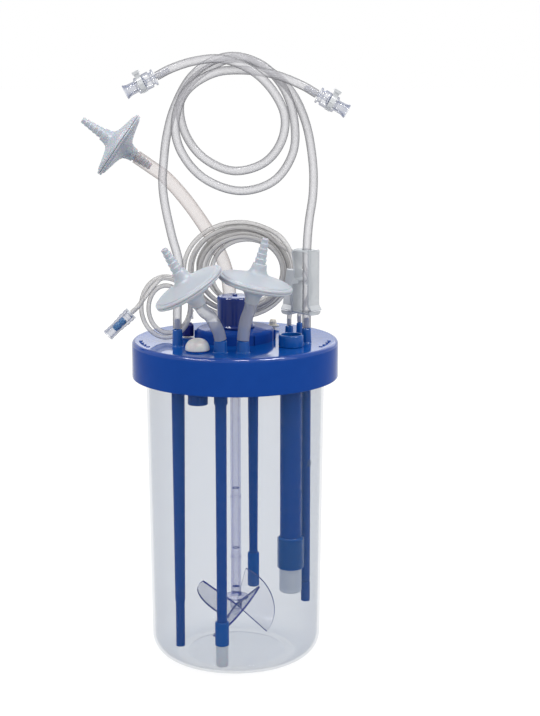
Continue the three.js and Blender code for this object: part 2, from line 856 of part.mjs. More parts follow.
function feedCap() {
  const corner = feedCapAcross / 2 / Math.cos(Math.PI / 8);
  const inside = feedCapAcross / 2 - feedCapWall;
  const outside = turned(
    [
      [0, 0],
      [corner - 0.8, 0],
      [corner, 0.8],
      [corner, feedCapHeight - feedCapChamfer],
      [corner - feedCapChamfer, feedCapHeight],
      [0, feedCapHeight],
    ],
    8,
  );
  const hollow = rod(inside, -1, feedCapHeight - feedCapWall, smallSides);
  return geometryOf(solid(outside).subtract(solid(hollow)));
}

function rearPlug() {
  const stem = rearPlugRadius * 0.6;
  const top = 2 + seatGap;
  const head = turned(
    [
      [0, -deckThickness + 1],
      [stem, -deckThickness + 1],
      [stem, top],
      [rearPlugRadius + 0.4, top],
      [rearPlugRadius + 0.4, top + rearTabThickness],
      [rearPlugRadius, top + rearTabThickness],
      [rearPlugRadius, top + rearPlugHeight - 3],
      [rearPlugRadius - 1, top + rearPlugHeight - 1],
      [0, top + rearPlugHeight - 0.6],
    ],
    smallSides,
  );
  return head;
}

function rearTab() {
  const ring = rod(rearPlugRadius + 2.6, 0, rearTabThickness, smallSides);
  const [tongueX, tongueZ] = [-rearTabLength / 2, rearTabThickness / 2];
  const tongue = box(rearTabLength, rearTabWidth, rearTabThickness, tongueX, 0, tongueZ);
  const hole = rod(rearPlugRadius + 0.4 + seatGap, -1, rearTabThickness + 1, smallSides);
  return geometryOf(solid(ring).add(solid(tongue)).subtract(solid(hole)));
}

// ---------------------------------------------------------------- vent filters

// One half of a disc filter: rim, dome and tapered stem along +Z from the parting plane. A stem
// long enough for it is barbed.
function filterShell(stemEnd, nub = false) {
  const coneTop = filterDome + filterConeHeight;
  const barbCount = Math.floor((stemEnd - coneTop) / filterBarbPitch);
  const slope = (filterStemRadius - filterTipRadius) / (filterStemLength - coneTop);
  const stemAt = (height) => filterStemRadius - slope * (height - coneTop);
  const barbs = [];
  for (let i = 0; i < barbCount; i += 1) {
    const foot = stemEnd - (barbCount - i) * filterBarbPitch;
    barbs.push([stemAt(foot), foot], [stemAt(foot) - filterBarbDepth, foot + 1.2]);
  }
  const shell = solid(
    turned(
      [
        [0, seatGap / 2],
        [filterRadius, seatGap / 2],
        [filterRadius, filterRim],
        [filterRadius - 3, filterRim + 1.4],
        [filterConeRadius + 5, filterDome - 0.8],
        [filterConeRadius, filterDome + 0.8],
        [filterConeRadius - 1.7, filterDome + 3.4],
        [filterStemRadius, coneTop],
        ...barbs,
        [stemAt(stemEnd), stemEnd - 1],
        [stemAt(stemEnd) - 0.6, stemEnd],
        [filterBore, stemEnd],
        [filterBore, stemEnd - 12],
        [0, stemEnd - 12],
      ],
      middleSides,
    ),
  );
  if (!nub) return geometryOf(shell);
  const length = filterStemRadius + bleedNubLength;
  const peg = solid(rod(bleedNubRadius, filterStemRadius - 3, length, thinSides));
  return geometryOf(shell.add(peg.rotate([90, 0, 0]).translate([0, 0, coneTop])));
}

// centre, outward direction of the free barb, and the length of the barb that the hose covers
const filters = {
  left: { at: [-40, -83, 363], free: [-0.52, -0.1, 0.85], hoseBarb: 20 },
  right: { at: [18.2, -66, 364.5], free: [0.215, -0.05, 0.97], hoseBarb: 20 },
  exhaust: { at: [-108, 60, 476], free: [-0.82, 0, 0.57], hoseBarb: 36, nub: true },
};

function ventFilters() {
  for (const [name, { at, free, hoseBarb, nub }] of Object.entries(filters)) {
    const hoseSide = free.map((value) => -value);
    place(`${name}_filter_outer_shell`, filterShell(filterStemLength), 'milky', at, pointing(free));
    place(`${name}_filter_inner_shell`, filterShell(hoseBarb, nub), 'milky', at, pointing(hoseSide));
  }
}

// A hose meets a barb straight on: a point just short of it and the point where it ends.
function hoseEndAt(at, axis, barbReach, lead = 3) {
  const along = new THREE.Vector3(...axis).normalize();
  const point = (reach) => new THREE.Vector3(...at).addScaledVector(along, -reach).toArray();
  return [point(barbReach + seatGap + lead), point(barbReach + seatGap)];
}

const filterHoseEnd = (name) => hoseEndAt(filters[name].at, filters[name].free, filters[name].hoseBarb);

// ---------------------------------------------------------------- quick connectors

// A hose coupling along +Z: barb, ringed body with a slot for the latch, and a flared open end.
function connectorBody() {
  const flange = couplingBodyRadius + 0.8;
  const groove = couplingBodyRadius - 1;
  const slotBottom = latchCentre - latchThickness / 2 - runGap;
  const slotTop = latchCentre + latchThickness / 2 + runGap;
  return turned(
    [
      [couplingBore, -couplingBarb],
      [hoseBore - 0.3, -couplingBarb],
      [hoseBore + 0.5, -couplingBarb + 3],
      [hoseBore - 0.2, 0],
      [flange, 0],
      [flange, 1.8],
      [groove, 2.2],
      [groove, 4],
      [flange, 4.6],
      [flange, slotBottom],
      [couplingCore, slotBottom],
      [couplingCore, slotTop],
      [flange, slotTop],
      [flange, slotTop + 1.8],
      [couplingCore + 0.5, slotTop + 2.6],
      [couplingCore + 0.7, couplingLength - 4],
      [couplingBodyRadius, couplingLength],
      [couplingBodyRadius - 0.7, couplingLength],
      [couplingCore - 0.8, couplingLength - 5],
      [couplingCore - 0.8, slotBottom - 1],
      [couplingBore, slotBottom - 2],
    ],
    smallSides,
  );
}

function connectorLatch() {
  const flange = couplingBodyRadius + 0.8;
  const padInside = flange + latchTravel + runGap;
  const hole = couplingCore + runGap;
  const padHeight = padInside + latchPad / 2;
  const [from, to] = [latchCentre - latchThickness / 2, latchCentre + latchThickness / 2];
  const ring = solid(rod(flange + 0.6, from, to, smallSides));
  const neckLength = padInside + 1;
  const neck = solid(box(latchWidth - 3, neckLength, latchThickness, 0, neckLength / 2, latchCentre));
  const pad = solid(box(latchWidth, latchPad, latchThickness + 1.4, 0, padHeight, latchCentre));
  const bore = solid(rod(hole, from - 1, to + 1, smallSides));
  const reach = solid(box(2 * hole, latchTravel, 2 * latchThickness, 0, latchTravel / 2, latchCentre));
  const slot = bore.add(reach).add(bore.translate([0, latchTravel, 0]));
  return geometryOf(ring.add(neck).add(pad).subtract(slot));
}

// ---------------------------------------------------------------- luer valve on the feed line

function luerBarb() {
  const foot = luerBodyRadius - luerWall - seatGap;
  const barb = turned(
    [
      [0.9, -luerBarbLength],
      [lineBore, -luerBarbLength],
      [lineBore + 0.5, 2 - luerBarbLength],
      [lineBore, 2.4 - luerBarbLength],
      [lineBore, -1],
      [foot, -0.8],
      [foot, luerSeat],
      [0.9, luerSeat],
    ],
    smallSides,
  );
  const wings = solid(box(2 * luerBodyRadius + 1, 2.6, 1.4, 0, 0, -0.4));
  return geometryOf(solid(barb).add(wings.subtract(solid(rod(foot - 0.5, -3, 3, smallSides)))));
}

function luerValveBody() {
  const bore = luerPistonRadius + runGap;
  const collar = luerBodyRadius + 0.6;
  const inside = luerBodyRadius - luerWall;
  return turned(
    [
      [inside, 0.6],
      [luerBodyRadius, 0.6],
      [collar, 1.4],
      [collar, 3.8],
      [luerBodyRadius, 4.4],
      [luerBodyRadius, 5.4],
      [collar, 6],
      [collar, 8.6],
      [bore + 1.4, 9.6],
      [bore + 1.2, luerLength - 4],
      [bore + 1.5, luerLength],
      [bore, luerLength],
      [bore, luerPistonFrom - 0.4],
      [inside, luerPistonFrom - 0.8],
    ],
    smallSides,
  );
}

function luerPiston() {
  const waist = luerPistonRadius - 0.6;
  const [from, to] = [luerPistonFrom, luerPistonTo];
  return turned(
    [
      [0, from],
      [luerPistonRadius - 0.8, from],
      [luerPistonRadius, from + 1],
      [luerPistonRadius, from + 4],
      [waist, from + 4.8],
      [waist, from + 6.2],
      [luerPistonRadius, from + 7],
      [luerPistonRadius, to - 3],
      [luerPistonRadius - 0.7, to],
      [0, to],
    ],
    smallSides,
  );
}

// The small plain luer on the end of the base line.
function lineEndLuer() {
  return turned(
    [
      [0.9, 0],
      [lineBore, 0],
      [lineBore, 4],
      [2.6, 4.4],
      [2.6, 6],
      [2.1, 6.6],
      [2.3, 13],
      [1.6, 13],
      [0.9, 8],
    ],
    thinSides,
  );
}

// ---------------------------------------------------------------- hose clamps

// Outline of a clamp's strip seen square on: rounded ends and a waist above the middle.
function clampOutline(length, width) {
  const [half, side, waist] = [length / 2, width / 2, (width / 2) * clampWaist];
  const corner = side - clampCorner;
  const edge = [
    ...rounding(corner, half - clampCorner, clampCorner, 90, 0, 3),
    [waist, half * 0.45],
    [waist, half * 0.15],
    [side, -half * 0.1],
    ...rounding(corner, clampCorner - half, clampCorner, 0, -90, 3),
  ];
  const mirrored = edge.map(([y, z]) => [-y, z]).reverse();
  return solid(plateAlongY([...edge, ...mirrored], 4 * length)).rotate([0, 0, 90]);
}

// A pinch clamp on a hose that runs along local Z. The back is on +X; the lever swings on -X.
function clampFrame({ length, width, hose, depth }) {
  const front = -hose - clampFront;
  const hook = front - clampHook;
  const half = length / 2;
  const inner = depth - clampWall;
  const nose = hose + clampSlack;
  const strip = plateAlongY(
    [
      [front, half],
      [depth - 3, half],
      [depth, half - 3],
      [depth, -half],
      [hook, -half],
      [hook, -half + 3.4],
      [hook + 1.4, -half + 3.4],
      [hook + 1.4, -half + clampWall],
      [inner, -half + clampWall],
      [inner, -3],
      [nose, -1.4],
      [nose, 1.4],
      [inner, 3],
      [inner, half - 3.4],
      [depth - 3.4, half - clampWall],
      [front, half - clampWall],
    ],
    width,
  );
  const hole = solid(rod(hose + clampSlack, -length, length, smallSides));
  return geometryOf(solid(strip).intersect(clampOutline(length, width)).subtract(hole));
}

function clampLever({ length, width, hose }) {
  const inside = -hose - clampFront - seatGap;
  const outer = inside - clampWall;
  const nose = -hose - clampSlack;
  const half = length / 2;
  return plateAlongY(
    [
      [inside, half],
      [outer + 0.6, half],
      [outer, half - 0.8],
      [outer, -half + 9],
      [outer - 3.4, -half + 5],
      [outer - 2.2, -half + 4.2],
      [inside, -half + 7.6],
      [inside, -2.2],
      [nose, -0.8],
      [nose, 0.8],
      [inside, 2.2],
    ],
    width - 1,
  );
}

const clamps = {
  medium: {
    length: 59, width: 14, hose: hoseRadius, depth: 13.5,
    at: [65.2, -20, 358.5], lean: 0, spin: 130,
  },
  feed: {
    length: 42, width: 11, hose: lineRadius, depth: 7.5,
    at: [53.3, 4, 346], lean: 0.1, spin: 60,
  },
};

function hoseClamps() {
  for (const [name, clamp] of Object.entries(clamps)) {
    const turn = pointing([clamp.lean, 0, 1], clamp.spin);
    place(`${name}_clamp_frame`, clampFrame(clamp), 'milky', clamp.at, turn);
    place(`${name}_clamp_lever`, clampLever(clamp), 'milky', clamp.at, turn);
  }
}

// ---------------------------------------------------------------- hoses

// A hose leaves its stub straight up: the point on the barb's end and one above it.
function hoseStart({ at, rise, barbLength }) {
  const barbEnd = deckTop + rise + barbLength + seatGap;
  return [[...at, barbEnd], [...at, barbEnd + 2]];
}

const connectors = {
  left: { at: [-70, -13, 541.4], along: [-0.89, 0, -0.456], spin: -90 },
  right: { at: [75.3, -4.5, 525.2], along: [0.866, 0, -0.5], spin: 90 },
};

const couplingHoseEnd = (name) => hoseEndAt(connectors[name].at, connectors[name].along, couplingBarb);

const sampleHosePath = [
  ...hoseStart(ports.sample),
  [-51.5, -32, 344],
  [-50, -27, 375],
  [-57, -19, 402],
  [-63, -10, 429],
  [-65, -3, 446],
  [-64, 1, 464],
  [-61, 3, 488],
  [-54, 4, 513],
  [-39, 4, 540],
  [-21, 4, 554],
  [1, 4, 559],
  [27, 4, 550],
  [45, 4, 530],
  [54, 4, 502],
  [53, 3, 473],
  [36, 0, 448],
  [5, -2, 439],
  [-28, -4, 451],
  [-48, -4.5, 475],
  [-53, -4.5, 500],
  [-43, -4.5, 528],
  [-19, -4.5, 544],
  [5, -4.5, 547],
  [36, -4.5, 543],
  ...couplingHoseEnd('right'),
];

const mediumHosePath = [
  ...hoseStart(ports.medium),
  [65.2, -20, 345],
  [65.2, -20, 375],
  [65.2, -19.6, 391],
  [67, -15, 412],
  [71, -5, 437],
  [71, 3, 464],
  [64.5, 9, 500],
  [51, 12, 528],
  [27, 12.5, 549],
  [1, 12.5, 557],
  [-23, 12.5, 548],
  [-41, 12.5, 533],
  [-49, 12.5, 516],
  [-45, 11.5, 491],
  [-29, 7, 469],
  [-1, -1, 457],
  [27, -8, 465],
  [42, -12, 484],
  [45, -13, 507],
  [33, -13, 531],
  [14, -13, 548],
  [-11, -13, 557],
  [-36, -13, 555],
  ...couplingHoseEnd('left'),
];

const exhaustHosePath = [
  ...hoseStart(ports.exhaust),
  [-5.5, 58, 340],
  [-9, 58, 360],
  [-17, 58, 380],
  [-30, 58.5, 402],
  [-48, 59.5, 427],
  [-66, 60, 446.6],
  ...filterHoseEnd('exhaust'),
];

const gasHoseLeftPath = [
  ...hoseStart(ports.gas_left),
  [-15, -66, 332],
  [-21, -74.5, 337],
  ...filterHoseEnd('left'),
];

const gasHoseRightPath = [
  ...hoseStart(ports.gas_right),
  [9, -63, 334],
  ...filterHoseEnd('right'),
];

// Coils of thin line hang upright: centre, half width, half height, hole half width, depth.
const bundleUp = 48;
const loopsUp = 31;
const bundle = {
  at: [4, 28, hubTop + runGap + bundleUp],
  across: 54,
  up: bundleUp,
  hole: 24,
  depth: 16,
};
const loops = {
  at: [-63, -8, deckTop + runGap + loopsUp],
  across: 25,
  up: loopsUp,
  hole: 12,
  depth: 9,
};

function coilRing({ across, up, hole, depth }, sides) {
  const half = depth / 2;
  const ring = turned(
    [
      [hole, 0],
      [hole + 2.5, -half],
      [across - 2.5, -half],
      [across, 0],
      [across - 2.5, half],
      [hole + 2.5, half],
    ],
    sides,
  );
  // The ring is turned about Z, laid over to stand in the X-Z plane and drawn out along Z.
  return tidy(ring.rotateX(Math.PI / 2).scale(1, 1, up / across));
}

const feedRiserPath = [
  ...hoseStart(ports.feed),
  [52.2, 4, 335],
  [54.5, 4, 356],
  [54.8, 5, 369],
  [51.6, 9.5, 380.5],
  [46.6, 14, 389.6],
  [40.4, 17.4, 396],
];

const baseRiserPath = [
  ...hoseStart(ports.base),
  [63.4, 17.5, 329],
  [68, 14.5, 338],
  [70.6, 12.8, 347],
  [69.6, 12.2, 355],
  [65, 12.4, 364.5],
  [58, 15.2, 376.5],
  [50.8, 20, 387.6],
];

const linkPath = [
  [-47.4, 27, 343],
  [-49, 20, 337.5],
  [-51, 10, 339],
  [-52, 1.5, 345.6],
  [-52, -3.1, 345.6],
];

const luerAt = [-95, -17, 329];
const luerAlong = [-0.72, 0, -0.69];
const luerLinePath = [
  [-66, -15, 361],
  [-74, -15.2, 354],
  [-82, -16.2, 344],
  ...hoseEndAt(luerAt, luerAlong, luerBarbLength, 2),
];

const lineEndAt = [-41, 17.4, 331];
const baseTailPath = [
  [-30, 17.4, 343.5],
  [-37.6, 17.4, 338.5],
  [lineEndAt[0], lineEndAt[1], lineEndAt[2] + seatGap + 2],
  [lineEndAt[0], lineEndAt[1], lineEndAt[2] + seatGap],
];

function hoses() {
  place('sample_hose', hoseAlong(sampleHosePath, hoseRadius, thinSides), 'hose');
  place('medium_hose', hoseAlong(mediumHosePath, hoseRadius, thinSides), 'hose');
  place('exhaust_hose', hoseAlong(exhaustHosePath, exhaustHoseRadius, smallSides), 'hose');
  place('gas_hose_left', hoseAlong(gasHoseLeftPath, gasHoseRadius, smallSides), 'hose');
  place('gas_hose_right', hoseAlong(gasHoseRightPath, gasHoseRadius, smallSides), 'hose');
  place('feed_line_riser', hoseAlong(feedRiserPath, lineRadius, thinSides), 'hose');
  place('base_line_riser', hoseAlong(baseRiserPath, lineRadius, thinSides), 'hose');
  place('line_bundle', coilRing(bundle, 28), 'hose', bundle.at);
  place('feed_line_link', hoseAlong(linkPath, lineRadius, thinSides), 'hose');
  place('line_loops', coilRing(loops, 20), 'hose', loops.at);
  place('feed_line_end', hoseAlong(luerLinePath, lineRadius, thinSides), 'hose');
  place('base_line_end', hoseAlong(baseTailPath, lineRadius, thinSides), 'hose');
}

function hoseEnds() {
  for (const [name, { at, along, spin }] of Object.entries(connectors)) {
    const turn = pointing(along, spin);
    place(`${name}_coupling_body`, connectorBody(), 'clear', at, turn);
    place(`${name}_coupling_latch`, connectorLatch(), 'white', at, turn);
  }
  const luerTurn = pointing(luerAlong);
  place('luer_barb', luerBarb(), 'white', luerAt, luerTurn);
  place('luer_valve_body', luerValveBody(), 'clear', luerAt, luerTurn);
  place('luer_valve_piston', luerPiston(), 'valve', luerAt, luerTurn);
  place('base_line_luer', lineEndLuer(), 'clear', lineEndAt, pointing([0, 0, -1]));
}

// ---------------------------------------------------------------- build

place('vessel', vessel(), 'clear');
place('head_plate', headPlate(), 'blue');
place('probe_gland', probeGland(), 'blue', [...probeAt, 0]);
place('septum_guide', septumGuide(), 'blue', [...septumAt, 0]);
place('drive_tower', driveTower(), 'navy', [0, 0, towerBase]);
place('shaft_bearing', tube(bearingRadius, bearingBore, bossBottom, bearingSeat - seatGap, 20), 'white');
place('drive_coupling', driveCoupling(), 'navy', [0, 0, rotorBase]);

const journalHead = { journal: true, length: journalTop - shaftTop };
const spigotHead = { journal: false, length: jointSpigot };
place('shaft_upper', shaftTube(upperJointHeight, shaftTop, journalHead), 'violet');
place('shaft_middle', shaftTube(lowerJointHeight, upperJointHeight - seatGap, spigotHead), 'violet');
place('shaft_lower', shaftTube(hubDiscTop + seatGap, lowerJointHeight - seatGap, spigotHead), 'violet');
place('impeller', impeller(), 'violet');

dipTubes();
probeAssembly();

place('septum', septum(), 'white', [...septumAt, deckTop]);
place('feed_port_cap', feedCap(), 'navy', [...feedCapAt, deckTop + feedCapLift]);
place('rear_port_plug', rearPlug(), 'ivory', [...rearPlugAt, deckTop]);
place('rear_plug_tab', rearTab(), 'grey', [...rearPlugAt, deckTop + 2 + seatGap]);

ventFilters();
hoses();
hoseEnds();
hoseClamps();

export default assembly;
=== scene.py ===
"""Looks of a bench bioreactor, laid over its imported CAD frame. Metres, +Z up."""

import math

import bmesh
import bpy
from bpy.props import FloatProperty, FloatVectorProperty, IntProperty, PointerProperty
from mathutils import Matrix, Quaternion, Vector


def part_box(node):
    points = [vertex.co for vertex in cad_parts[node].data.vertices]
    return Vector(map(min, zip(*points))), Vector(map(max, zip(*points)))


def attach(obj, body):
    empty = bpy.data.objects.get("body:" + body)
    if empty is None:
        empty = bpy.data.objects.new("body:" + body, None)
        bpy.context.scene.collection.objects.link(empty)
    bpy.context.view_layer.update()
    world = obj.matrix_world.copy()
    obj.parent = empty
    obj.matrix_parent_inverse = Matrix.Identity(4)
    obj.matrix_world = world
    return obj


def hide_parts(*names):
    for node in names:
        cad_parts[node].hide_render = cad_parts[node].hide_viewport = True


bl_info = {
    "name": "Bench bioreactor",
    "version": (1, 0, 0),
    "blender": (4, 5, 0),
    "location": "View3D > Sidebar > Bioreactor",
    "description": "Builds a stirred bench bioreactor with its hoses, filters and fittings",
    "category": "Add Mesh",
}

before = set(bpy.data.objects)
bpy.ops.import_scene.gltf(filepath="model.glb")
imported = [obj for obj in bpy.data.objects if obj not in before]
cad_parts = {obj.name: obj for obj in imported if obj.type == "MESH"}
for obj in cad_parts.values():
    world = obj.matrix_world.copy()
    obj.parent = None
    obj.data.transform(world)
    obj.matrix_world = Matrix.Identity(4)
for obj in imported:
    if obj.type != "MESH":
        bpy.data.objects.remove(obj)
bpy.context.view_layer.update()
MM = 0.001
UP = Vector((0, 0, 1))


# ---------------------------------------------------------------- places taken from the frame


class Column:
    """The upright axis, radius and ends of a turned CAD node, in metres."""

    def __init__(self, node):
        low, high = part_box(node)
        self.x, self.y = (low[0] + high[0]) / 2, (low[1] + high[1]) / 2
        self.low, self.high = low[2], high[2]
        self.radius = (high[0] - low[0]) / 2


VESSEL = Column("vessel")
PLATE = Column("head_plate")
TOWER = Column("drive_tower")
SEPTUM = Column("septum")
PROBE = Column("probe_sleeve")
TUBE_TOP = Column("sample_dip_tube").high  # underside of the deck, less a seating gap
SEAT = 0.3 * MM
DECK_THICKNESS = 4 * MM
DECK_UNDER = TUBE_TOP + SEAT
DECK_TOP = DECK_UNDER + DECK_THICKNESS
HUB_TOP = TOWER.low - SEAT

# Hose routes, as in the CAD source: each starts on the end of its port's barb.
SAMPLE_ROUTE = [
    (-0.052, -0.033, 0.3185), (-0.052, -0.033, 0.3280), (-0.0515, -0.032, 0.344), (-0.050, -0.027, 0.375),
    (-0.057, -0.019, 0.402), (-0.063, -0.010, 0.429), (-0.065, -0.003, 0.446), (-0.064, 0.001, 0.464),
    (-0.061, 0.003, 0.488), (-0.054, 0.004, 0.513), (-0.039, 0.004, 0.540), (-0.021, 0.004, 0.554),
    (0.001, 0.004, 0.559), (0.027, 0.004, 0.550), (0.045, 0.004, 0.530), (0.054, 0.004, 0.502),
    (0.053, 0.003, 0.473), (0.036, 0.0, 0.448), (0.005, -0.002, 0.439), (-0.028, -0.004, 0.451),
    (-0.048, -0.0045, 0.475), (-0.053, -0.0045, 0.500), (-0.043, -0.0045, 0.528), (-0.019, -0.0045, 0.544),
    (0.005, -0.0045, 0.547), (0.036, -0.0045, 0.543),
]
MEDIUM_ROUTE = [
    (0.065, -0.020, 0.3167), (0.065, -0.020, 0.3270), (0.0652, -0.020, 0.345), (0.0652, -0.020, 0.375),
    (0.0652, -0.0196, 0.391), (0.067, -0.015, 0.412), (0.071, -0.005, 0.437), (0.071, 0.003, 0.464),
    (0.0645, 0.009, 0.500), (0.051, 0.012, 0.528), (0.027, 0.0125, 0.549), (0.001, 0.0125, 0.557),
    (-0.023, 0.0125, 0.548), (-0.041, 0.0125, 0.533), (-0.049, 0.0125, 0.516), (-0.045, 0.0115, 0.491),
    (-0.029, 0.007, 0.469), (-0.001, -0.001, 0.457), (0.027, -0.008, 0.465), (0.042, -0.012, 0.484),
    (0.045, -0.013, 0.507), (0.033, -0.013, 0.531), (0.014, -0.013, 0.548), (-0.011, -0.013, 0.557),
    (-0.036, -0.013, 0.555),
]
EXHAUST_ROUTE = [
    (-0.005, 0.058, 0.3130), (-0.005, 0.058, 0.3260), (-0.0055, 0.058, 0.340), (-0.009, 0.058, 0.360),
    (-0.017, 0.058, 0.380), (-0.030, 0.0585, 0.402), (-0.048, 0.0595, 0.427), (-0.066, 0.060, 0.4466),
]
GAS_LEFT_ROUTE = [
    (-0.013, -0.063, 0.3136), (-0.0145, -0.0638, 0.320), (-0.0182, -0.067, 0.329), (-0.0222, -0.071, 0.3362),
]
GAS_RIGHT_ROUTE = [(0.007, -0.063, 0.3131), (0.0078, -0.063, 0.321), (0.0102, -0.0634, 0.333)]
FEED_RISER = [
    (0.050, 0.003, 0.3146), (0.050, 0.003, 0.3220), (0.0522, 0.004, 0.335), (0.0545, 0.004, 0.356),
    (0.0548, 0.005, 0.369), (0.0516, 0.0095, 0.3805), (0.0466, 0.014, 0.3896),
]
BASE_RISER = [
    (0.060, 0.020, 0.3143), (0.060, 0.020, 0.3215), (0.0634, 0.0175, 0.329), (0.068, 0.0145, 0.338),
    (0.0706, 0.0128, 0.347), (0.0696, 0.0122, 0.355), (0.065, 0.0124, 0.3645), (0.058, 0.0152, 0.3765),
]
LINK_ROUTE = [(-0.049, 0.020, 0.3375), (-0.051, 0.010, 0.339), (-0.052, 0.0015, 0.3456)]
LUER_ROUTE = [(-0.074, -0.0152, 0.354), (-0.082, -0.0162, 0.344)]
TAIL_ROUTE = [(-0.0376, 0.0174, 0.3385), (-0.041, 0.0174, 0.3333), (-0.041, 0.0174, 0.3313)]

# What hangs on the hoses: the middle, and the direction in which its free end points.
FILTERS = {
    "left": ((-0.040, -0.083, 0.363), (-0.52, -0.10, 0.85), 20),
    "right": ((0.0182, -0.066, 0.3645), (0.215, -0.05, 0.97), 20),
    "exhaust": ((-0.108, 0.060, 0.476), (-0.82, 0.0, 0.57), 36),
}
COUPLINGS = {
    "left": ((-0.070, -0.013, 0.5414), (-0.89, 0, -0.456), -90),
    "right": ((0.0753, -0.0045, 0.5252), (0.866, 0, -0.5), 90),
}
LUER_AT, LUER_ALONG = (-0.095, -0.017, 0.329), (-0.72, 0, -0.69)


# ---------------------------------------------------------------- sizes and colours


def linear(text):
    """An sRGB hex colour as linear RGBA."""
    levels = [int(text[i : i + 2], 16) / 255 for i in (1, 3, 5)]
    return [v / 12.92 if v <= 0.04045 else ((v + 0.055) / 1.055) ** 2.4 for v in levels] + [1.0]


def length(name, description, default):
    return FloatProperty(name=name, description=description, default=default, min=0.0, unit="LENGTH")


def colour(name, description, default):
    return FloatVectorProperty(
        name=name, description=description, default=linear(default), size=4, min=0, max=1, subtype="COLOR"
    )


class BioreactorSizes(bpy.types.PropertyGroup):
    """Sizes that can be changed before the pieces are built."""

    hose_diameter: length("Hose", "Outside diameter of the two long hoses", 0.0079)
    exhaust_diameter: length("Exhaust hose", "Outside diameter of the exhaust hose", 0.0127)
    gas_diameter: length("Gas hoses", "Outside diameter of the two short gas hoses", 0.0112)
    line_diameter: length("Feed lines", "Outside diameter of the thin feed lines", 0.0042)
    edge_rounding: length("Edge rounding", "Rounding of the moulded edges", 0.0006)
    mark_height: length("Mark height", "Height of the raised ticks on the deck", 0.0005)
    around: IntProperty(name="Facets", description="Facets round a large turned piece", default=128, min=24)
    hub_ribs: IntProperty(name="Hub ribs", description="Upright ribs on the hub's side", default=6, min=0)


class BioreactorColours(bpy.types.PropertyGroup):
    """Colours of the plastics."""

    vessel: colour("Vessel", "Clear polycarbonate of the vessel", "#3F73A6")
    plate: colour("Head plate", "Blue of the head plate", "#1A4AA2")
    tubes: colour("Dip tubes", "Blue of the dip tubes and the probe sleeve", "#0C3A94")
    tower: colour("Drive tower", "Navy of the drive tower and the screw cap", "#1B2672")
    agitator: colour("Agitator", "Tinted clear plastic of the shaft and blades", "#7676F8")
    hose: colour("Hose", "Clear hose", "#E6E5EA")
    filter: colour("Filter", "Translucent vent filters", "#BCC3CD")
    coupling: colour("Coupling", "Clear tinted couplings", "#6478A8")
    valve: colour("Valve", "Blue piston of the luer valve", "#4C92CC")


def sizes():
    return bpy.context.scene.bioreactor_sizes


def colours():
    return bpy.context.scene.bioreactor_colours


# ---------------------------------------------------------------- shapes


def eased(outline, radius=None, steps=3):
    """An outline in millimetres with its corners rounded off. It is closed unless it meets the axis."""
    radius = sizes().edge_rounding / MM if radius is None else radius
    points = [Vector(point) for point in outline]
    closed = points[0].x > 0 and points[-1].x > 0
    made = []
    for i, point in enumerate(points):
        if not closed and i in (0, len(points) - 1):
            made.append(point)
            continue
        before, after = points[i - 1] - point, points[(i + 1) % len(points)] - point
        reach = min(radius, 0.45 * before.length, 0.45 * after.length)
        if before.angle(after) > math.radians(172) or reach < 0.02:
            made.append(point)
            continue
        start, end = point + before.normalized() * reach, point + after.normalized() * reach
        for k in range(steps + 1):
            t = k / steps
            made.append(start * (1 - t) ** 2 + point * 2 * t * (1 - t) + end * t * t)
    return made


def turn(mesh, outline, sides, place=Matrix(), look=0):
    """Adds a turned shape to a mesh: the outline, in millimetres, is spun about its own Z axis."""
    rings = []
    for x, z in outline:
        if x < 0.001:
            rings.append([mesh.verts.new(place @ Vector((0, 0, z * MM)))])
            continue
        angles = (2 * math.pi * i / sides for i in range(sides))
        rings.append(
            [mesh.verts.new(place @ (Vector((x * math.cos(a), x * math.sin(a), z)) * MM)) for a in angles]
        )
    pairs = list(zip(rings, rings[1:]))
    if len(rings[0]) > 1 and len(rings[-1]) > 1:
        pairs.append((rings[-1], rings[0]))
    for low, high in pairs:
        for i in range(sides):
            j = (i + 1) % sides
            corners = (low[i % len(low)], low[j % len(low)], high[j % len(high)], high[i % len(high)])
            mesh.faces.new(dict.fromkeys(corners)).material_index = look


def prism(mesh, outline, low, high, place=Matrix(), look=0):
    """Adds a flat shape to a mesh: the X-Y outline, in millimetres, is drawn from low to high."""
    ends = [[mesh.verts.new(place @ (Vector((x, y, z)) * MM)) for x, y in outline] for z in (low, high)]
    faces = [mesh.faces.new(ends[0][::-1]), mesh.faces.new(ends[1])]
    for i in range(len(outline)):
        j = (i + 1) % len(outline)
        faces.append(mesh.faces.new((ends[0][i], ends[0][j], ends[1][j], ends[1][i])))
    for face in faces:
        face.material_index = look
    return faces


def block(mesh, low, high, place=Matrix(), look=0, rounding=0.4):
    """Adds a block with rounded edges, its corners given in millimetres."""
    outline = [(low[0], low[1]), (high[0], low[1]), (high[0], high[1]), (low[0], high[1])]
    faces = prism(mesh, outline, low[2], high[2], place, look)
    edges = list(dict.fromkeys(edge for face in faces for edge in face.edges))
    bmesh.ops.bevel(mesh, geom=edges, offset=rounding * MM, segments=2, profile=0.5, affect="EDGES")


def at(x, y, z=0.0, spin=0.0):
    """A place given in metres, turned about its upright axis in degrees."""
    return Matrix.Translation((x, y, z)) @ Matrix.Rotation(math.radians(spin), 4, "Z")


def pointing(place, direction, spin=0.0):
    """A place whose own Z axis points in a direction, spun about it in degrees."""
    rotation = UP.rotation_difference(Vector(direction)) @ Quaternion(UP, math.radians(spin))
    return Matrix.Translation(place) @ rotation.to_matrix().to_4x4()


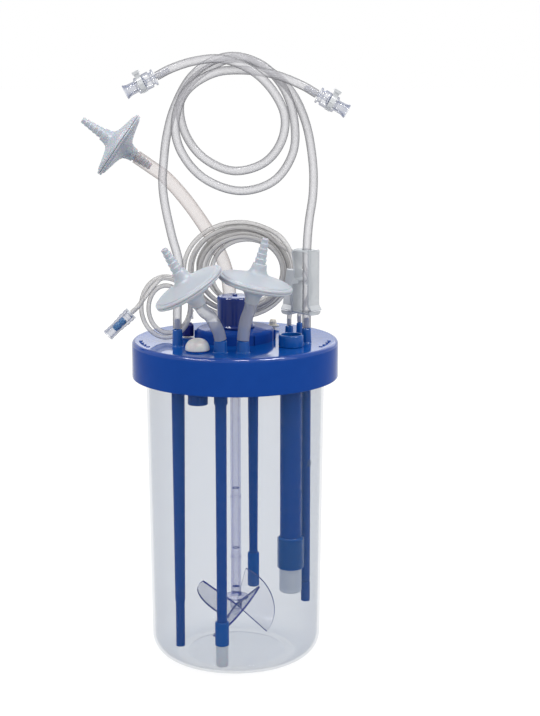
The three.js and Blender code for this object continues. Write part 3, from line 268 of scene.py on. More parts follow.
def piece(name, mesh, looks, replaced=(), body="reactor", crease=38):
    """Makes a mesh into a piece that rides on a body and stands for CAD nodes."""
    bmesh.ops.recalc_face_normals(mesh, faces=mesh.faces)
    data = bpy.data.meshes.new(name)
    mesh.to_mesh(data)
    mesh.free()
    data.shade_smooth()
    data.set_sharp_from_angle(angle=math.radians(crease))
    for look in looks:
        data.materials.append(look)
    made = bpy.data.objects.new(name, data)
    bpy.context.scene.collection.objects.link(made)
    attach(made, body)
    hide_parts(*replaced)
    return made


def turned_piece(name, outline, look, place, sides=48, body="reactor", rounding=None):
    """A turned piece that stands for the CAD node of the same name."""
    mesh = bmesh.new()
    turn(mesh, eased(outline, rounding), sides, place)
    return piece(f"{name}_finished", mesh, [look], [name], body)


def dress(look, *nodes):
    """Gives CAD nodes, whose shape is right, their finish."""
    for node in nodes:
        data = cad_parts[node]
        for i in range(max(1, len(data.material_slots))):
            if i < len(data.material_slots):
                data.material_slots[i].material = look
            else:
                data.data.materials.append(look)


# ---------------------------------------------------------------- routes


def smooth_route(points, spacing=0.0025):
    """Points at an even spacing on the smooth curve through a route, the same curve as the CAD's."""
    route = [Vector(point) for point in points]
    route = [2 * route[0] - route[1], *route, 2 * route[-1] - route[-2]]
    made = []
    for a, b, c, d in zip(route, route[1:], route[2:], route[3:]):
        gaps = [max(1e-4, (q - p).length ** 0.5) for p, q in ((a, b), (b, c), (c, d))]
        leave = (b - a) / gaps[0] - (c - a) / (gaps[0] + gaps[1]) + (c - b) / gaps[1]
        reach = (c - b) / gaps[1] - (d - b) / (gaps[1] + gaps[2]) + (d - c) / gaps[2]
        leave, reach = leave * gaps[1], reach * gaps[1]
        steps = max(2, round((c - b).length / spacing))
        for k in range(steps):
            t = k / steps
            bend = 3 * (c - b) - 2 * leave - reach
            twist = 2 * (b - c) + leave + reach
            made.append(b + leave * t + bend * t**2 + twist * t**3)
    return [*made, route[-2]]


def hose_end(place, direction, barb, lead):
    """Where a hose runs straight on to a fitting: the point where it ends, a barb's length short of
    the fitting's place, and a point before that by the lead."""
    along = Vector(direction).normalized()
    return [tuple(Vector(place) - along * (barb + SEAT + more)) for more in (lead, 0.0)]


def strand(centre, squash, begin, turns, slots, aside=0.0):
    """Points on one line of an upright coil, which begins at an angle in degrees and has a slot of
    radius and depth for each turn. The tighter a turn is, the further aside it lies."""
    steps = round(turns * 20)
    made = []
    for i in range(steps + 1):
        done = turns * i / steps
        whole = min(int(done), len(slots) - 2)
        share = min(1.0, max(0.0, (done - whole - 0.25) / 0.7))
        share = share * share * (3 - 2 * share)
        radius = slots[whole][0] * (1 - share) + slots[whole + 1][0] * share
        depth = slots[whole][1] * (1 - share) + slots[whole + 1][1] * share
        angle = math.radians(begin) + 2 * math.pi * done
        sway = 1 + 0.012 * math.sin(2.3 * done + radius)
        made.append(
            (
                (centre[0] + aside * (slots[0][0] - radius) + radius * sway * math.cos(angle)) * MM,
                depth * MM,
                (centre[1] + radius * squash * math.sin(angle)) * MM,
            )
        )
    return made


def cord(name, points, diameter, look, replaced):
    """A hose as one open spline, with the real hose's diameter and length."""
    data = bpy.data.curves.new(name, "CURVE")
    data.dimensions = "3D"
    data.bevel_depth = diameter / 2
    data.bevel_resolution = 6
    data.use_fill_caps = True
    spline = data.splines.new("POLY")
    spline.points.add(len(points) - 1)
    for point, place in zip(spline.points, points):
        point.co = (*place, 1.0)
    spline.use_smooth = True
    data.materials.append(look)
    made = bpy.data.objects.new(name, data)
    bpy.context.scene.collection.objects.link(made)
    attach(made, "reactor")
    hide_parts(*replaced)
    return made


# ---------------------------------------------------------------- finishes


def add(tree, kind, inputs=None, **settings):
    """Adds a node: settings on the node itself, and a value or a link for each input."""
    node = tree.nodes.new(kind)
    for name, value in settings.items():
        setattr(node, name, value)
    for name, value in (inputs or {}).items():
        if isinstance(value, bpy.types.NodeSocket):
            tree.links.new(value, node.inputs[name])
        else:
            node.inputs[name].default_value = value
    return node


def begin(name):
    """An empty material and its node tree."""
    look = bpy.data.materials.new(name)
    look.use_nodes = True
    look.node_tree.nodes.clear()
    return look, look.node_tree


def speckle(tree, millimetres, detail=2.0):
    """Noise in the object's own space, at a real grain size."""
    place = add(tree, "ShaderNodeTexCoord").outputs["Object"]
    inputs = {"Vector": place, "Scale": 1 / (millimetres * MM), "Detail": detail}
    return add(tree, "ShaderNodeTexNoise", inputs).outputs["Fac"]


def between(tree, factor, low, high):
    """A factor spread over a range of values."""
    inputs = {"Value": factor, "From Min": 0.0, "From Max": 1.0, "To Min": low, "To Max": high}
    return add(tree, "ShaderNodeMapRange", inputs).outputs["Result"]


def tinted(tree, base, factor, darker):
    """A colour that drifts towards a darker or paler one by a factor."""
    inputs = {"Factor": factor, 6: base, 7: darker}
    return add(tree, "ShaderNodeMix", inputs, data_type="RGBA").outputs[2]


def clear_plastic(name, centre, edge, alpha, roughness, ior, power=2.0, gloss=0.5):
    """A clear moulding: it dims what is behind it, a little face on and more towards its outline."""
    look, tree = begin(name)
    facing = add(tree, "ShaderNodeLayerWeight", {"Blend": 0.5}).outputs["Facing"]
    rim = add(tree, "ShaderNodeMath", {0: facing, 1: power}, operation="POWER").outputs[0]
    drift = speckle(tree, 9, 1.0)
    shader = add(
        tree,
        "ShaderNodeBsdfPrincipled",
        {
            "Base Color": tinted(tree, centre, rim, edge),
            "Roughness": between(tree, drift, roughness * 0.7, roughness * 1.3),
            "IOR": ior,
            "Alpha": between(tree, rim, *alpha),
            "Specular IOR Level": gloss,
        },
    )
    add(tree, "ShaderNodeOutputMaterial", {"Surface": shader.outputs[0]})
    return look


def moulded_plastic(name, base, roughness, grain, ior=1.5, gloss=0.5, glow=0.0, depth=0.003):
    """An opaque moulding: faint flow marks in its colour and gloss, and a fine skin.
    Glow is how much light goes into it, and depth how far."""
    look, tree = begin(name)
    drift = speckle(tree, 14, 2.0)
    skin = speckle(tree, grain, 1.0)
    darker = [level * 0.88 for level in base[:3]] + [1.0]
    bump = add(tree, "ShaderNodeBump", {"Height": skin, "Strength": 0.05, "Distance": 0.0001})
    shader = add(
        tree,
        "ShaderNodeBsdfPrincipled",
        {
            "Base Color": tinted(tree, list(base), drift, darker),
            "Roughness": between(tree, drift, roughness * 0.8, roughness * 1.25),
            "IOR": ior,
            "Specular IOR Level": gloss,
            "Subsurface Weight": glow,
            "Subsurface Scale": depth,
            "Normal": bump.outputs[0],
        },
    )
    add(tree, "ShaderNodeOutputMaterial", {"Surface": shader.outputs[0]})
    return look


# The finishes, by the names of what the real ones are.
FINISHES = {}


def finish(name):
    return FINISHES[name]


def make_clear_finishes(paint):
    """Name: colour face on, colour at the outline, opacity face on and at the outline, roughness, IOR,
    how tightly the outline is drawn, gloss."""
    rows = {
        # Injection-moulded polycarbonate: crystal clear, a smoky blue in the light.
        "polycarbonate_clear": (paint.vessel, "#4A6E94", (0.125, 0.24), 0.06, 1.58, 2.0, 0.25),
        # Where the mould's gate was, the clear plastic is ground dull.
        "polycarbonate_mark": (linear("#5A6C84"), "#5A6C84", (0.2, 0.4), 0.4, 1.58, 1.5, 0.4),
        # Tinted polycarbonate of the agitator: pale violet, deeper at its edges.
        "polycarbonate_violet": (paint.agitator, "#4A44A8", (0.11, 0.55), 0.12, 1.58, 1.8, 0.3),
        "polycarbonate_violet_blade": (linear("#7F82C4"), "#4A4796", (0.06, 0.45), 0.1, 1.58, 2.0, 0.3),
        # Frosted polypropylene: milky, and half see-through.
        "polypropylene_frosted": (linear("#E8ECF4"), "#C8CFDC", (0.5, 0.8), 0.5, 1.49, 1.4, 0.4),
        # Natural polypropylene of the pinch clamps: a thin milky strip, through which a hose shows.
        "polypropylene_clamp": (linear("#D2D6DA"), "#C2C8CE", (0.6, 0.85), 0.3, 1.49, 1.3, 0.4),
        # Deep blue polycarbonate of the drive tower: nearly opaque, with its outline painted a lighter blue,
        # a painted sheen, and a roof painted paler, painted light on its top.
        "polycarbonate_navy": (linear("#1A317A"), "#1460B4", (0.96, 1.0), 0.12, 1.58, 3.0, 0.2),
        # The roof's colour: the same navy painted paler, painted light on the top.
        "polycarbonate_navy_painted_lit_top": (linear("#1A4492"), "#1A4492", (0.98, 1.0), 0.1, 1.58, 2.0, 0.2),
        # Clear polycarbonate ring on the probe's collar: almost nothing but its outline shows.
        "polycarbonate_ring": (linear("#2456A4"), "#6F90C8", (0.12, 0.7), 0.08, 1.58, 2.2, 0.4),
        # Thick-walled silicone hose: clear, with dark grey edges where its wall is seen side on.
        "silicone_hose": (paint.hose, "#1A1D24", (0.34, 0.95), 0.2, 1.41, 0.8, 0.2),
        # The thin lines are the same silicone.
        "silicone_line": (linear("#E6E4E3"), "#353230", (0.5, 0.9), 0.25, 1.41, 1.1, 0.2),
        # The short gas hoses have a thicker wall, and are cloudy.
        "silicone_thick": (linear("#D2D5DE"), "#70748A", (0.36, 0.82), 0.2, 1.41, 1.2, 0.3),
        # The wide exhaust hose is a warmer, slightly pink grade of it.
        "silicone_hose_warm": (linear("#E0CEC8"), "#3A3636", (0.22, 0.85), 0.25, 1.41, 1.5, 0.2),
        # Tinted polycarbonate of the couplings: clear, with blue-violet edges.
        "polycarbonate_tinted": (paint.coupling, "#3E4670", (0.12, 0.78), 0.1, 1.58, 1.3, 0.35),
    }
    for name, (centre, edge, alpha, roughness, ior, power, gloss) in rows.items():
        FINISHES[name] = clear_plastic(name, list(centre), linear(edge), alpha, roughness, ior, power, gloss)


def make_moulded_finishes(paint):
    """Name: colour, roughness, grain of the skin in millimetres, then what sets it apart."""
    rows = {
        # Glossy polycarbonate, dyed through: deep blue with sharp light edges.
        "polycarbonate_blue": (paint.plate, 0.12, 0.8, {"ior": 1.1}),
        # The rounded upper edge of the plate, buffed so that it draws a thin bright line.
        "polycarbonate_blue_lip": (paint.plate, 0.1, 0.8, {"gloss": 0.25}),
        # The flat top of the same moulding: glossy, so that it mirrors what is round it, and painted a
        # lighter, more vivid blue than the rest of the plate, which is painted light on its top.
        "polycarbonate_blue_painted_lit_top": (linear("#0E56B0"), 0.08, 0.8, {"gloss": 0.26}),
        # The ports are thin-walled, and they are painted a lighter blue than the plate: painted light, which
        # stands in for light that passes through them.
        "polycarbonate_blue_painted_lighter": (linear("#0C58AA"), 0.14, 0.8, {"gloss": 0.25}),
        # Extruded polypropylene, dyed: a little softer than the plate.
        "polypropylene_blue": (paint.tubes, 0.26, 0.5, {"gloss": 0.1}),
        # The collars and boots are thinner, and they are painted a lighter blue than the tubes: painted
        # light, which stands in for light that passes through them.
        "polypropylene_blue_painted_lighter": (linear("#064FA8"), 0.26, 0.5, {"gloss": 0.1}),
        # Fine-textured ABS in navy: a dull sheen.
        "abs_navy": (paint.tower, 0.22, 0.35, {"gloss": 0.25}),
        # The cut edge of the violet plastic looks dark in the light, and it is painted a dark violet: painted
        # shade on the edges.
        "polycarbonate_violet_painted_dark_edge": (linear("#4A3E96"), 0.2, 0.5, {"ior": 1.58}),
        # Acetal of the shaft bearing: waxy white.
        "acetal_white": (linear("#E6E6E3"), 0.4, 0.4, {}),
        # Sintered polyethylene: a chalky white sponge of fine grains.
        "polyethylene_sintered": (linear("#DFE2E6"), 0.85, 0.5, {"glow": 0.3, "depth": 0.001}),
        # Silicone septum: pearly white, and soft.
        "silicone_pearl": (linear("#E4E2E0"), 0.28, 0.6, {"glow": 0.25, "gloss": 0.6}),
        # Natural nylon of the rear plug, ivory, and the grey polyethylene of its tab.
        "nylon_ivory": (linear("#E6E0CF"), 0.42, 0.4, {}),
        "polyethylene_grey": (linear("#A9ADB3"), 0.45, 0.4, {}),
        # Natural polypropylene of the vent filters: milky, bluish white, light passes into it.
        "polypropylene_milky": (paint.filter, 0.44, 0.7, {"glow": 0.35, "depth": 0.004, "gloss": 0.3}),
        # Acetal latches of the couplings, and the white polycarbonate luer barb.
        "acetal_latch": (linear("#DADDE0"), 0.35, 0.4, {}),
        "polycarbonate_white": (linear("#DDE1E8"), 0.22, 0.4, {"ior": 1.58}),
        # The valve's elastomer piston: a bright blue with a soft surface.
        "elastomer_blue": (paint.valve, 0.4, 0.4, {"gloss": 0.3}),
    }
    for name, (base, roughness, grain, more) in rows.items():
        FINISHES[name] = moulded_plastic(name, base, roughness, grain, **more)


# ---------------------------------------------------------------- stage


class BIOREACTOR_OT_stage(bpy.types.Operator):
    """Set up the camera, lamps, world and floor."""

    bl_idname = "bioreactor.stage"
    bl_label = "Stage"

    def execute(self, context):
        scene = context.scene
        scene.view_settings.view_transform = "Standard"
        pitch, yaw = math.radians(-11.414), math.radians(1.184)
        ahead = Vector((math.sin(yaw) * math.cos(pitch), math.cos(yaw) * math.cos(pitch), math.sin(pitch)))
        right = Vector((math.cos(yaw), -math.sin(yaw), 0))
        camera = bpy.data.objects.new("camera", bpy.data.cameras.new("camera"))
        camera.data.sensor_width = 36
        camera.data.lens = 86.357
        camera.data.clip_end = 50
        axes = Matrix((right, right.cross(ahead), -ahead)).transposed()
        camera.matrix_world = Matrix.Translation((0, -1.5565, 0.5984)) @ axes.to_4x4()
        scene.collection.objects.link(camera)
        scene.camera = camera
        make_clear_finishes(colours())
        make_moulded_finishes(colours())
        self.light(scene)
        self.floor(scene)
        return {"FINISHED"}

    def light(self, scene):
        lamps = {
            "lamp_key": ((-1.3, -1.3, 1.5), (0.9, 1.6), 11),
            "lamp_fill": ((1.5, -0.9, 1.1), (0.8, 1.6), 9),
            "lamp_top": ((0.0, 0.1, 1.9), (1.4, 1.2), 7),
            "lamp_back": ((0.4, 1.5, 1.1), (1.6, 1.0), 6),
        }
        # Three softboxes that only glossy edges show, as white streaks; they light nothing.
        streaks = {
            "streak_left": ((-1.4, -0.8, 2.6), (1.4, 0.7), 170),
            "streak_middle": ((0.25, -1.6, 2.6), (0.5, 0.7), 60),
            "streak_right": ((1.36, -0.85, 2.6), (1.05, 0.7), 125),
        }
        for name, (place, extent, power) in {**lamps, **streaks}.items():
            data = bpy.data.lights.new(name, "AREA")
            data.shape = "RECTANGLE"
            data.size, data.size_y, data.energy = *extent, power
            aim = Vector((0, 0, 0.2)) - Vector(place)
            lamp = bpy.data.objects.new(name, data)
            lamp.rotation_euler = aim.to_track_quat("-Z", "Y").to_euler()
            lamp.location = place
            lamp.visible_diffuse = name not in streaks
            lamp.visible_glossy = name != "lamp_key"
            scene.collection.objects.link(lamp)

    def floor(self, scene):
        world = bpy.data.worlds.new("studio")
        world.use_nodes = True
        tree = world.node_tree
        tree.nodes.clear()
        seen = self.seen(tree)
        plain = add(tree, "ShaderNodeBackground", {"Color": (1, 1, 1, 1), "Strength": 0.66})
        white = add(tree, "ShaderNodeBackground", {"Color": (1, 1, 1, 1), "Strength": 1.0})
        mixed = add(tree, "ShaderNodeMixShader", {0: seen, 1: plain.outputs[0], 2: white.outputs[0]})
        add(tree, "ShaderNodeOutputWorld", {"Surface": mixed.outputs[0]})
        scene.world = world

        look, tree = begin("paper_floor")
        lit = add(tree, "ShaderNodeBsdfDiffuse", {"Color": (0.2, 0.2, 0.2, 1)})
        glow = add(tree, "ShaderNodeEmission", {"Color": (1, 1, 1, 1), "Strength": 0.88})
        paper = add(tree, "ShaderNodeAddShader", {0: lit.outputs[0], 1: glow.outputs[0]})
        bounce = add(tree, "ShaderNodeBsdfDiffuse", {"Color": (0.6, 0.6, 0.6, 1)})
        seen = self.seen(tree)
        mixed = add(tree, "ShaderNodeMixShader", {0: seen, 1: bounce.outputs[0], 2: paper.outputs[0]})
        add(tree, "ShaderNodeOutputMaterial", {"Surface": mixed.outputs[0]})
        mesh = bmesh.new()
        bmesh.ops.create_grid(mesh, x_segments=1, y_segments=1, size=12)
        data = bpy.data.meshes.new("floor")
        mesh.to_mesh(data)
        mesh.free()
        data.materials.append(look)
        floor = bpy.data.objects.new("floor", data)
        scene.collection.objects.link(floor)

    def seen(self, tree):
        """1 for rays from the camera and for those in a reflection or through glass."""
        path = add(tree, "ShaderNodeLightPath")
        both = add(
            tree,
            "ShaderNodeMath",
            {0: path.outputs["Is Camera Ray"], 1: path.outputs["Is Glossy Ray"]},
            operation="MAXIMUM",
        )
        inputs = {0: both.outputs[0], 1: path.outputs["Is Transmission Ray"]}
        return add(tree, "ShaderNodeMath", inputs, operation="MAXIMUM").outputs[0]


# ---------------------------------------------------------------- hoses and lines


class BIOREACTOR_OT_hoses(bpy.types.Operator):
    """Build the clear hoses, each with its real length."""

    bl_idname = "bioreactor.hoses"
    bl_label = "Hoses"

    def execute(self, context):
        size = sizes()
        place, along, _ = COUPLINGS["right"]
        self.hose(
            "sample_hose",
            [*SAMPLE_ROUTE, *hose_end(place, along, barb=0.001, lead=0.014)],
            size.hose_diameter,
            "connector",
            ["right_coupling_body", "right_coupling_latch"],
        )
        place, along, _ = COUPLINGS["left"]
        self.hose(
            "medium_hose",
            [*MEDIUM_ROUTE, *hose_end(place, along, barb=0.001, lead=0.014)],
            size.hose_diameter,
            "connector",
            ["left_coupling_body", "left_coupling_latch", "medium_clamp_frame", "medium_clamp_lever"],
        )
        place, free, barb = FILTERS["exhaust"]
        self.hose(
            "exhaust_hose",
            [*EXHAUST_ROUTE, *hose_end(place, free, barb=0.019, lead=0.018)],
            size.exhaust_diameter,
            "fitting",
            ["exhaust_filter_outer_shell", "exhaust_filter_inner_shell"],
            "silicone_hose_warm",
        )
        return {"FINISHED"}

    def hose(self, name, route, diameter, far_end, pieces, look="silicone_hose"):
        points = smooth_route(route)
        made = cord(f"{name}_finished", points, diameter, finish(look), [name])


class BIOREACTOR_OT_gas_hoses(bpy.types.Operator):
    """Build the two short hoses that carry the small vent filters."""

    bl_idname = "bioreactor.gas_hoses"
    bl_label = "Gas hoses"

    def execute(self, context):
        routes = {"left": GAS_LEFT_ROUTE, "right": GAS_RIGHT_ROUTE}
        for side, route in routes.items():
            place, free, _ = FILTERS[side]
            route = [*route, *hose_end(place, free, barb=0.0125, lead=0.011)]
            points = smooth_route(route, spacing=0.0012)
            node, look = f"gas_hose_{side}", finish("silicone_thick")
            cord(f"{node}_finished", points, sizes().gas_diameter, look, [node])
        return {"FINISHED"}


class BIOREACTOR_OT_feed_lines(bpy.types.Operator):
    """Build the two thin lines: riser, upright coil and end, each on one smooth route."""

    bl_idname = "bioreactor.feed_lines"
    bl_label = "Feed lines"

    # Each coil's centre in X and Z, in millimetres, and its height as a share of its width.
    bundle, bundle_squash = (4, 361.7), 48 / 54
    loops, loops_squash = (-63, 333.7), 31 / 25
    # How far the tighter turns of the bundle slide aside, as a share of how much tighter they are.
    aside = 0.42
    # Where each turn lies: radius in the coil and depth from the front, in millimetres.
    feed_slots = [(51, 27), (46.6, 29), (41.5, 26.5), (36.5, 29.2), (33, 27), (42.5, 33.3), (51, 33)]
    base_slots = [(46, 22.5), (40, 22.5), (37, 18), (39, 17.4)]
    loop_slots = [(15.5, -4.5), (22.5, -7.5), (22.2, -14), (22.2, -15)]

    def execute(self, context):
        bundle, loops = (self.bundle, self.bundle_squash), (self.loops, self.loops_squash)
        feed = [
            *FEED_RISER,
            (0.0404, 0.0180, 0.396),
            *strand(*bundle, begin=66, turns=5.33, slots=self.feed_slots, aside=self.aside),
            (-0.0478, 0.0290, 0.343),
            *LINK_ROUTE,
            *strand(*loops, begin=42, turns=2.16, slots=self.loop_slots),
            *LUER_ROUTE,
            *hose_end(LUER_AT, LUER_ALONG, barb=0.0015, lead=0.008),
        ]
        base = [
            *BASE_RISER,
            *strand(*bundle, begin=40, turns=2.4, slots=self.base_slots, aside=self.aside),
            (-0.0300, 0.0174, 0.3435),
            *TAIL_ROUTE,
        ]
        nodes = ["feed_line_riser", "line_bundle", "feed_line_link", "line_loops", "feed_line_end"]
        self.line("feed_line", feed, "fitting", nodes, ["luer_barb", "luer_valve_body", "luer_valve_piston"])
        self.line("base_line", base, "fitting", ["base_line_riser", "base_line_end"], ["base_line_luer"])
        return {"FINISHED"}

    def line(self, name, route, far_end, replaced, pieces):
        diameter = sizes().line_diameter
        points = smooth_route(route, spacing=0.002)
        made = cord(f"{name}_finished", points, diameter, finish("silicone_line"), replaced)


# ---------------------------------------------------------------- vessel and head plate


def arc(middle, height, radius, start, end, steps):
    """Points on part of a circle in a turned outline, in millimetres and degrees."""
    angles = (math.radians(start + (end - start) * i / steps) for i in range(steps + 1))
    return [(middle + radius * math.cos(a), height + radius * math.sin(a)) for a in angles]


class BIOREACTOR_OT_vessel(bpy.types.Operator):
    """Build the clear culture vessel with its rim, rounded bottom and foot ring."""

    bl_idname = "bioreactor.vessel"
    bl_label = "Vessel"

    # In millimetres: the rim flange, the wall and its corner, and the ring that the vessel stands on.
    rim_width, rim_thickness = 7, 4
    taper, corner, wall = 3.5, 21, 2.4
    foot_inside, foot_outside, foot_height = 46, 56, 1.2

    def execute(self, context):
        rim, top = VESSEL.radius / MM, VESSEL.high / MM
        neck, side, wall = top - self.rim_thickness, rim - self.rim_width, self.wall
        middle, corner, lift = side - self.taper - self.corner, self.corner, self.foot_height
        outline = [
            (0, lift),
            (self.foot_inside - lift, lift),
            (self.foot_inside, 0),
            (self.foot_outside, 0),
            *arc(middle, corner, corner, -88, 0, 14),
            (side - 0.05, neck),
            (rim, neck),
            (rim, top),
            (side - wall, top),
            (side - wall - 0.05, neck),
            *arc(middle, corner, corner - wall, 0, -90, 14),
            (self.foot_outside - lift, wall),
            (self.foot_inside, wall + lift),
            (0, wall + lift),
        ]
        mesh = bmesh.new()
        turn(mesh, outline, sizes().around, at(VESSEL.x, VESSEL.y))
        # The small round mark that the mould leaves on the wall.
        mark = pointing((0.0672, -0.0437, 0.1948), (0.838, -0.545, 0))
        turn(mesh, [(0, 0.5), (2.4, 0.5), (3.2, 0.2), (3.2, -1.2), (0, -1.2)], 24, mark, 1)
        looks = [finish("polycarbonate_clear"), finish("polycarbonate_mark")]
        piece("vessel_finished", mesh, looks, ["vessel"])
        return {"FINISHED"}


# Ports in the deck: place in metres, then in millimetres the radius at the foot and at the neck, the
# rise, and the radius and length of the barb.
PORTS = {
    "sample": ((-0.0520, -0.0330), 4.7, 4.2, 15.6, 2.7, 9),
    "gas_left": ((-0.0130, -0.0630), 6.0, 5.7, 10.7, 4.0, 12),
    "gas_right": ((0.0070, -0.0630), 5.7, 5.4, 10.2, 4.0, 12),
    "medium": ((0.0650, -0.0200), 4.5, 4.0, 13.8, 2.7, 9),
    "feed": ((0.0500, 0.0030), 4.0, 3.5, 11.7, 1.6, 6),
    "base": ((0.0600, 0.0200), 3.0, 2.6, 11.4, 1.6, 6),
    "exhaust": ((-0.0050, 0.0580), 7.8, 7.3, 10.0, 4.8, 12),
}


class BIOREACTOR_OT_head_plate(bpy.types.Operator):
    """Build the head plate: ring, glossy deck with painted light on its top, hub with ribs, ports and raised
    ticks.
    """

    bl_idname = "bioreactor.head_plate"
    bl_label = "Head plate"

    # In millimetres: the skirt and its edges, the hub, and the rib that centres the plate in the vessel.
    skirt_depth, skirt_wall, skirt_foot, edge = 34.3, 3.2, 1.1, 3.4
    hub_radius, hub_edge, shaft_hole, underside = 35.8, 3.2, 4.2, 84
    rib_outside, rib_wall, rib_depth = 78.2, 1.8, 8
    tick_end, tick_width, tick_step, tick_groups = 88.6, 0.7, 3.2, (196, -18)

    def execute(self, context):
        ring, deck, hub_top = PLATE.radius / MM, DECK_TOP / MM, HUB_TOP / MM
        under, skirt, hub = DECK_UNDER / MM, DECK_TOP / MM - self.skirt_depth, self.hub_radius
        inside, foot, bend = ring - self.skirt_wall, self.skirt_foot, self.hub_edge
        edge, around = self.edge, sizes().around
        mesh = bmesh.new()
        side = [
            (self.underside, under),
            (inside, under),
            (inside, skirt + 0.4),
            *arc(ring - foot, skirt + foot, foot, -110, 0, 4),
            (ring, deck - edge),
        ]
        lip = arc(ring - edge, deck - edge, edge, 0, 80, 8)
        top = [(ring - edge, deck), (hub, deck)]
        mound = [
            *arc(hub - bend, hub_top - bend, bend, 0, 90, 8),
            (self.shaft_hole, hub_top),
            (self.shaft_hole, under),
            (self.underside, under),
        ]
        # Look 1, on the flat deck, is the plate blue painted lighter: painted light on its top.
        for outline, look in ((side, 0), (lip, 3), (top, 1), (mound, 0)):
            self.band(mesh, outline, around, look)
        self.band(mesh, [lip[-1], top[0]], around, 3)
        self.band(mesh, [top[-1], mound[0]], around, 0)
        out, low = self.rib_outside, under - self.rib_depth
        rib = [(out, under), (out, low), (out - self.rib_wall, low), (out - self.rib_wall, under)]
        self.band(mesh, rib, around, 0)
        for i in range(sizes().hub_ribs):
            place = at(0, 0, 0, 360 * i / sizes().hub_ribs)
            block(mesh, (hub - 2, -0.9, deck - 0.5), (hub + 1.6, 0.9, hub_top - 2.4), place, 0, 0.5)
        for (x, y), foot, neck, rise, barb, reach in PORTS.values():
            self.stub(mesh, at(x, y, DECK_TOP), foot, neck, rise, barb, reach)
        self.marks(mesh)
        collar = [(7.5, 0), (10.4, 0), (10.4, 0.9), (7.5, 0.9)]
        turn(mesh, eased(collar, 0.3), 48, at(SEPTUM.x, SEPTUM.y, DECK_TOP - 0.0002))
        # The deck's top and the ports get lighter blues than the rest of the plate: painted light.
        names = ("", "_painted_lit_top", "_painted_lighter", "_lip")
        looks = [finish("polycarbonate_blue" + name) for name in names]
        made = piece("head_plate_finished", mesh, looks, ["head_plate"])
        made.data.validate()
        return {"FINISHED"}

    def band(self, mesh, outline, around, look):
        """An open turned strip of the plate."""
        rings = []
        for x, z in outline:
            angles = (2 * math.pi * i / around for i in range(around))
            rings.append([mesh.verts.new(Vector((x * math.cos(a), x * math.sin(a), z)) * MM) for a in angles])
        for low, high in zip(rings, rings[1:]):
            for i in range(around):
                j = (i + 1) % around
                mesh.faces.new((low[i], low[j], high[j], high[i])).material_index = look

    def stub(self, mesh, place, foot, neck, rise, barb, reach):
        """A port: a tapered stub with a foot fillet, and a barb of two teeth above it."""
        outline = [(0, -0.5), (foot + 1.2, -0.5), *arc(foot + 1.2, 1.2, 1.2, -90, -180, 3)]
        outline += [(neck + 0.1, rise - 0.7), (neck - 0.5, rise)]
        for i in range(2):
            start = rise + reach * i / 2
            outline += [(barb * 0.82, start), (barb, start + 0.8)]
        outline += [(barb * 0.78, rise + reach), (barb * 0.5, rise + reach), (barb * 0.5, rise), (0, rise)]
        # The ports get look 2, the plate blue painted lighter: painted light through their thin walls.
        turn(mesh, eased(outline, 0.3, 2), 40, place, 2)

    def marks(self, mesh):
        """Two groups of raised ticks near the deck's edge, every second one longer."""
        height = sizes().mark_height / MM
        end, half = self.tick_end, self.tick_width / 2
        for middle in self.tick_groups:
            for i in range(-3, 4):
                place = at(0, 0, DECK_TOP, middle + self.tick_step * i)
                reach = 3.6 if i % 2 else 2.2
                block(mesh, (end - reach, -half, -0.2), (end, half, height), place, 0, 0.15)


class BIOREACTOR_OT_closures(bpy.types.Operator):
    """Build the septum, its guide and the screw cap, and finish the rear plug and its tab."""

    bl_idname = "bioreactor.closures"
    bl_label = "Septum, cap and plug"

    def execute(self, context):
        wide, foot, tall = 11, 2, 9.6  # the septum's dome: radius, where it starts and its height
        dome = [(wide * math.cos(a) ** 0.8, foot + tall * math.sin(a)) for a in self.sweep(14)]
        outline = [(0, -3), (6, -3), (6, 1), (wide - 0.6, 1), (wide, 1.6), *dome, (0, foot + tall)]
        place = at(SEPTUM.x, SEPTUM.y, DECK_TOP)
        turned_piece("septum", outline, finish("silicone_pearl"), place, 64, rounding=0.2)
        top, low = TUBE_TOP / MM, TUBE_TOP / MM - 44
        guide = [(7, low), (9, low), (9, top), (7, top)]
        place = at(SEPTUM.x, SEPTUM.y)
        turned_piece("septum_guide", guide, finish("polypropylene_blue"), place, 48)

        cap = Column("feed_port_cap")
        base, height = cap.low, (cap.high - cap.low) / MM
        mesh = bmesh.new()
        corner = 5.7 / math.cos(math.pi / 8)  # of an octagon 11.4 mm across its flats
        steps = ((corner - 0.7, 0), (corner, 0.8), (corner, height - 2.4), (corner - 2.4, height))
        outline = [(0, 0), *steps, (0, height)]
        turn(mesh, outline, 8, at(cap.x, cap.y, base, 22.5))
        edges = [edge for edge in mesh.edges if edge.calc_face_angle(0) > 0.3]
        bmesh.ops.bevel(mesh, geom=edges, offset=0.35 * MM, segments=2, profile=0.5, affect="EDGES")
        looks = [finish("abs_navy")]
        piece("feed_port_cap_finished", mesh, looks, ["feed_port_cap"], "spare_port_cap")
        dress(finish("nylon_ivory"), "rear_port_plug")
        dress(finish("polyethylene_grey"), "rear_plug_tab")
        return {"FINISHED"}

    def sweep(self, steps):
        """Angles from the foot of a dome to just short of its top."""
        return [math.pi / 2 * (i + 0.5) / (steps + 0.5) for i in range(steps)]


# ---------------------------------------------------------------- drive and agitator


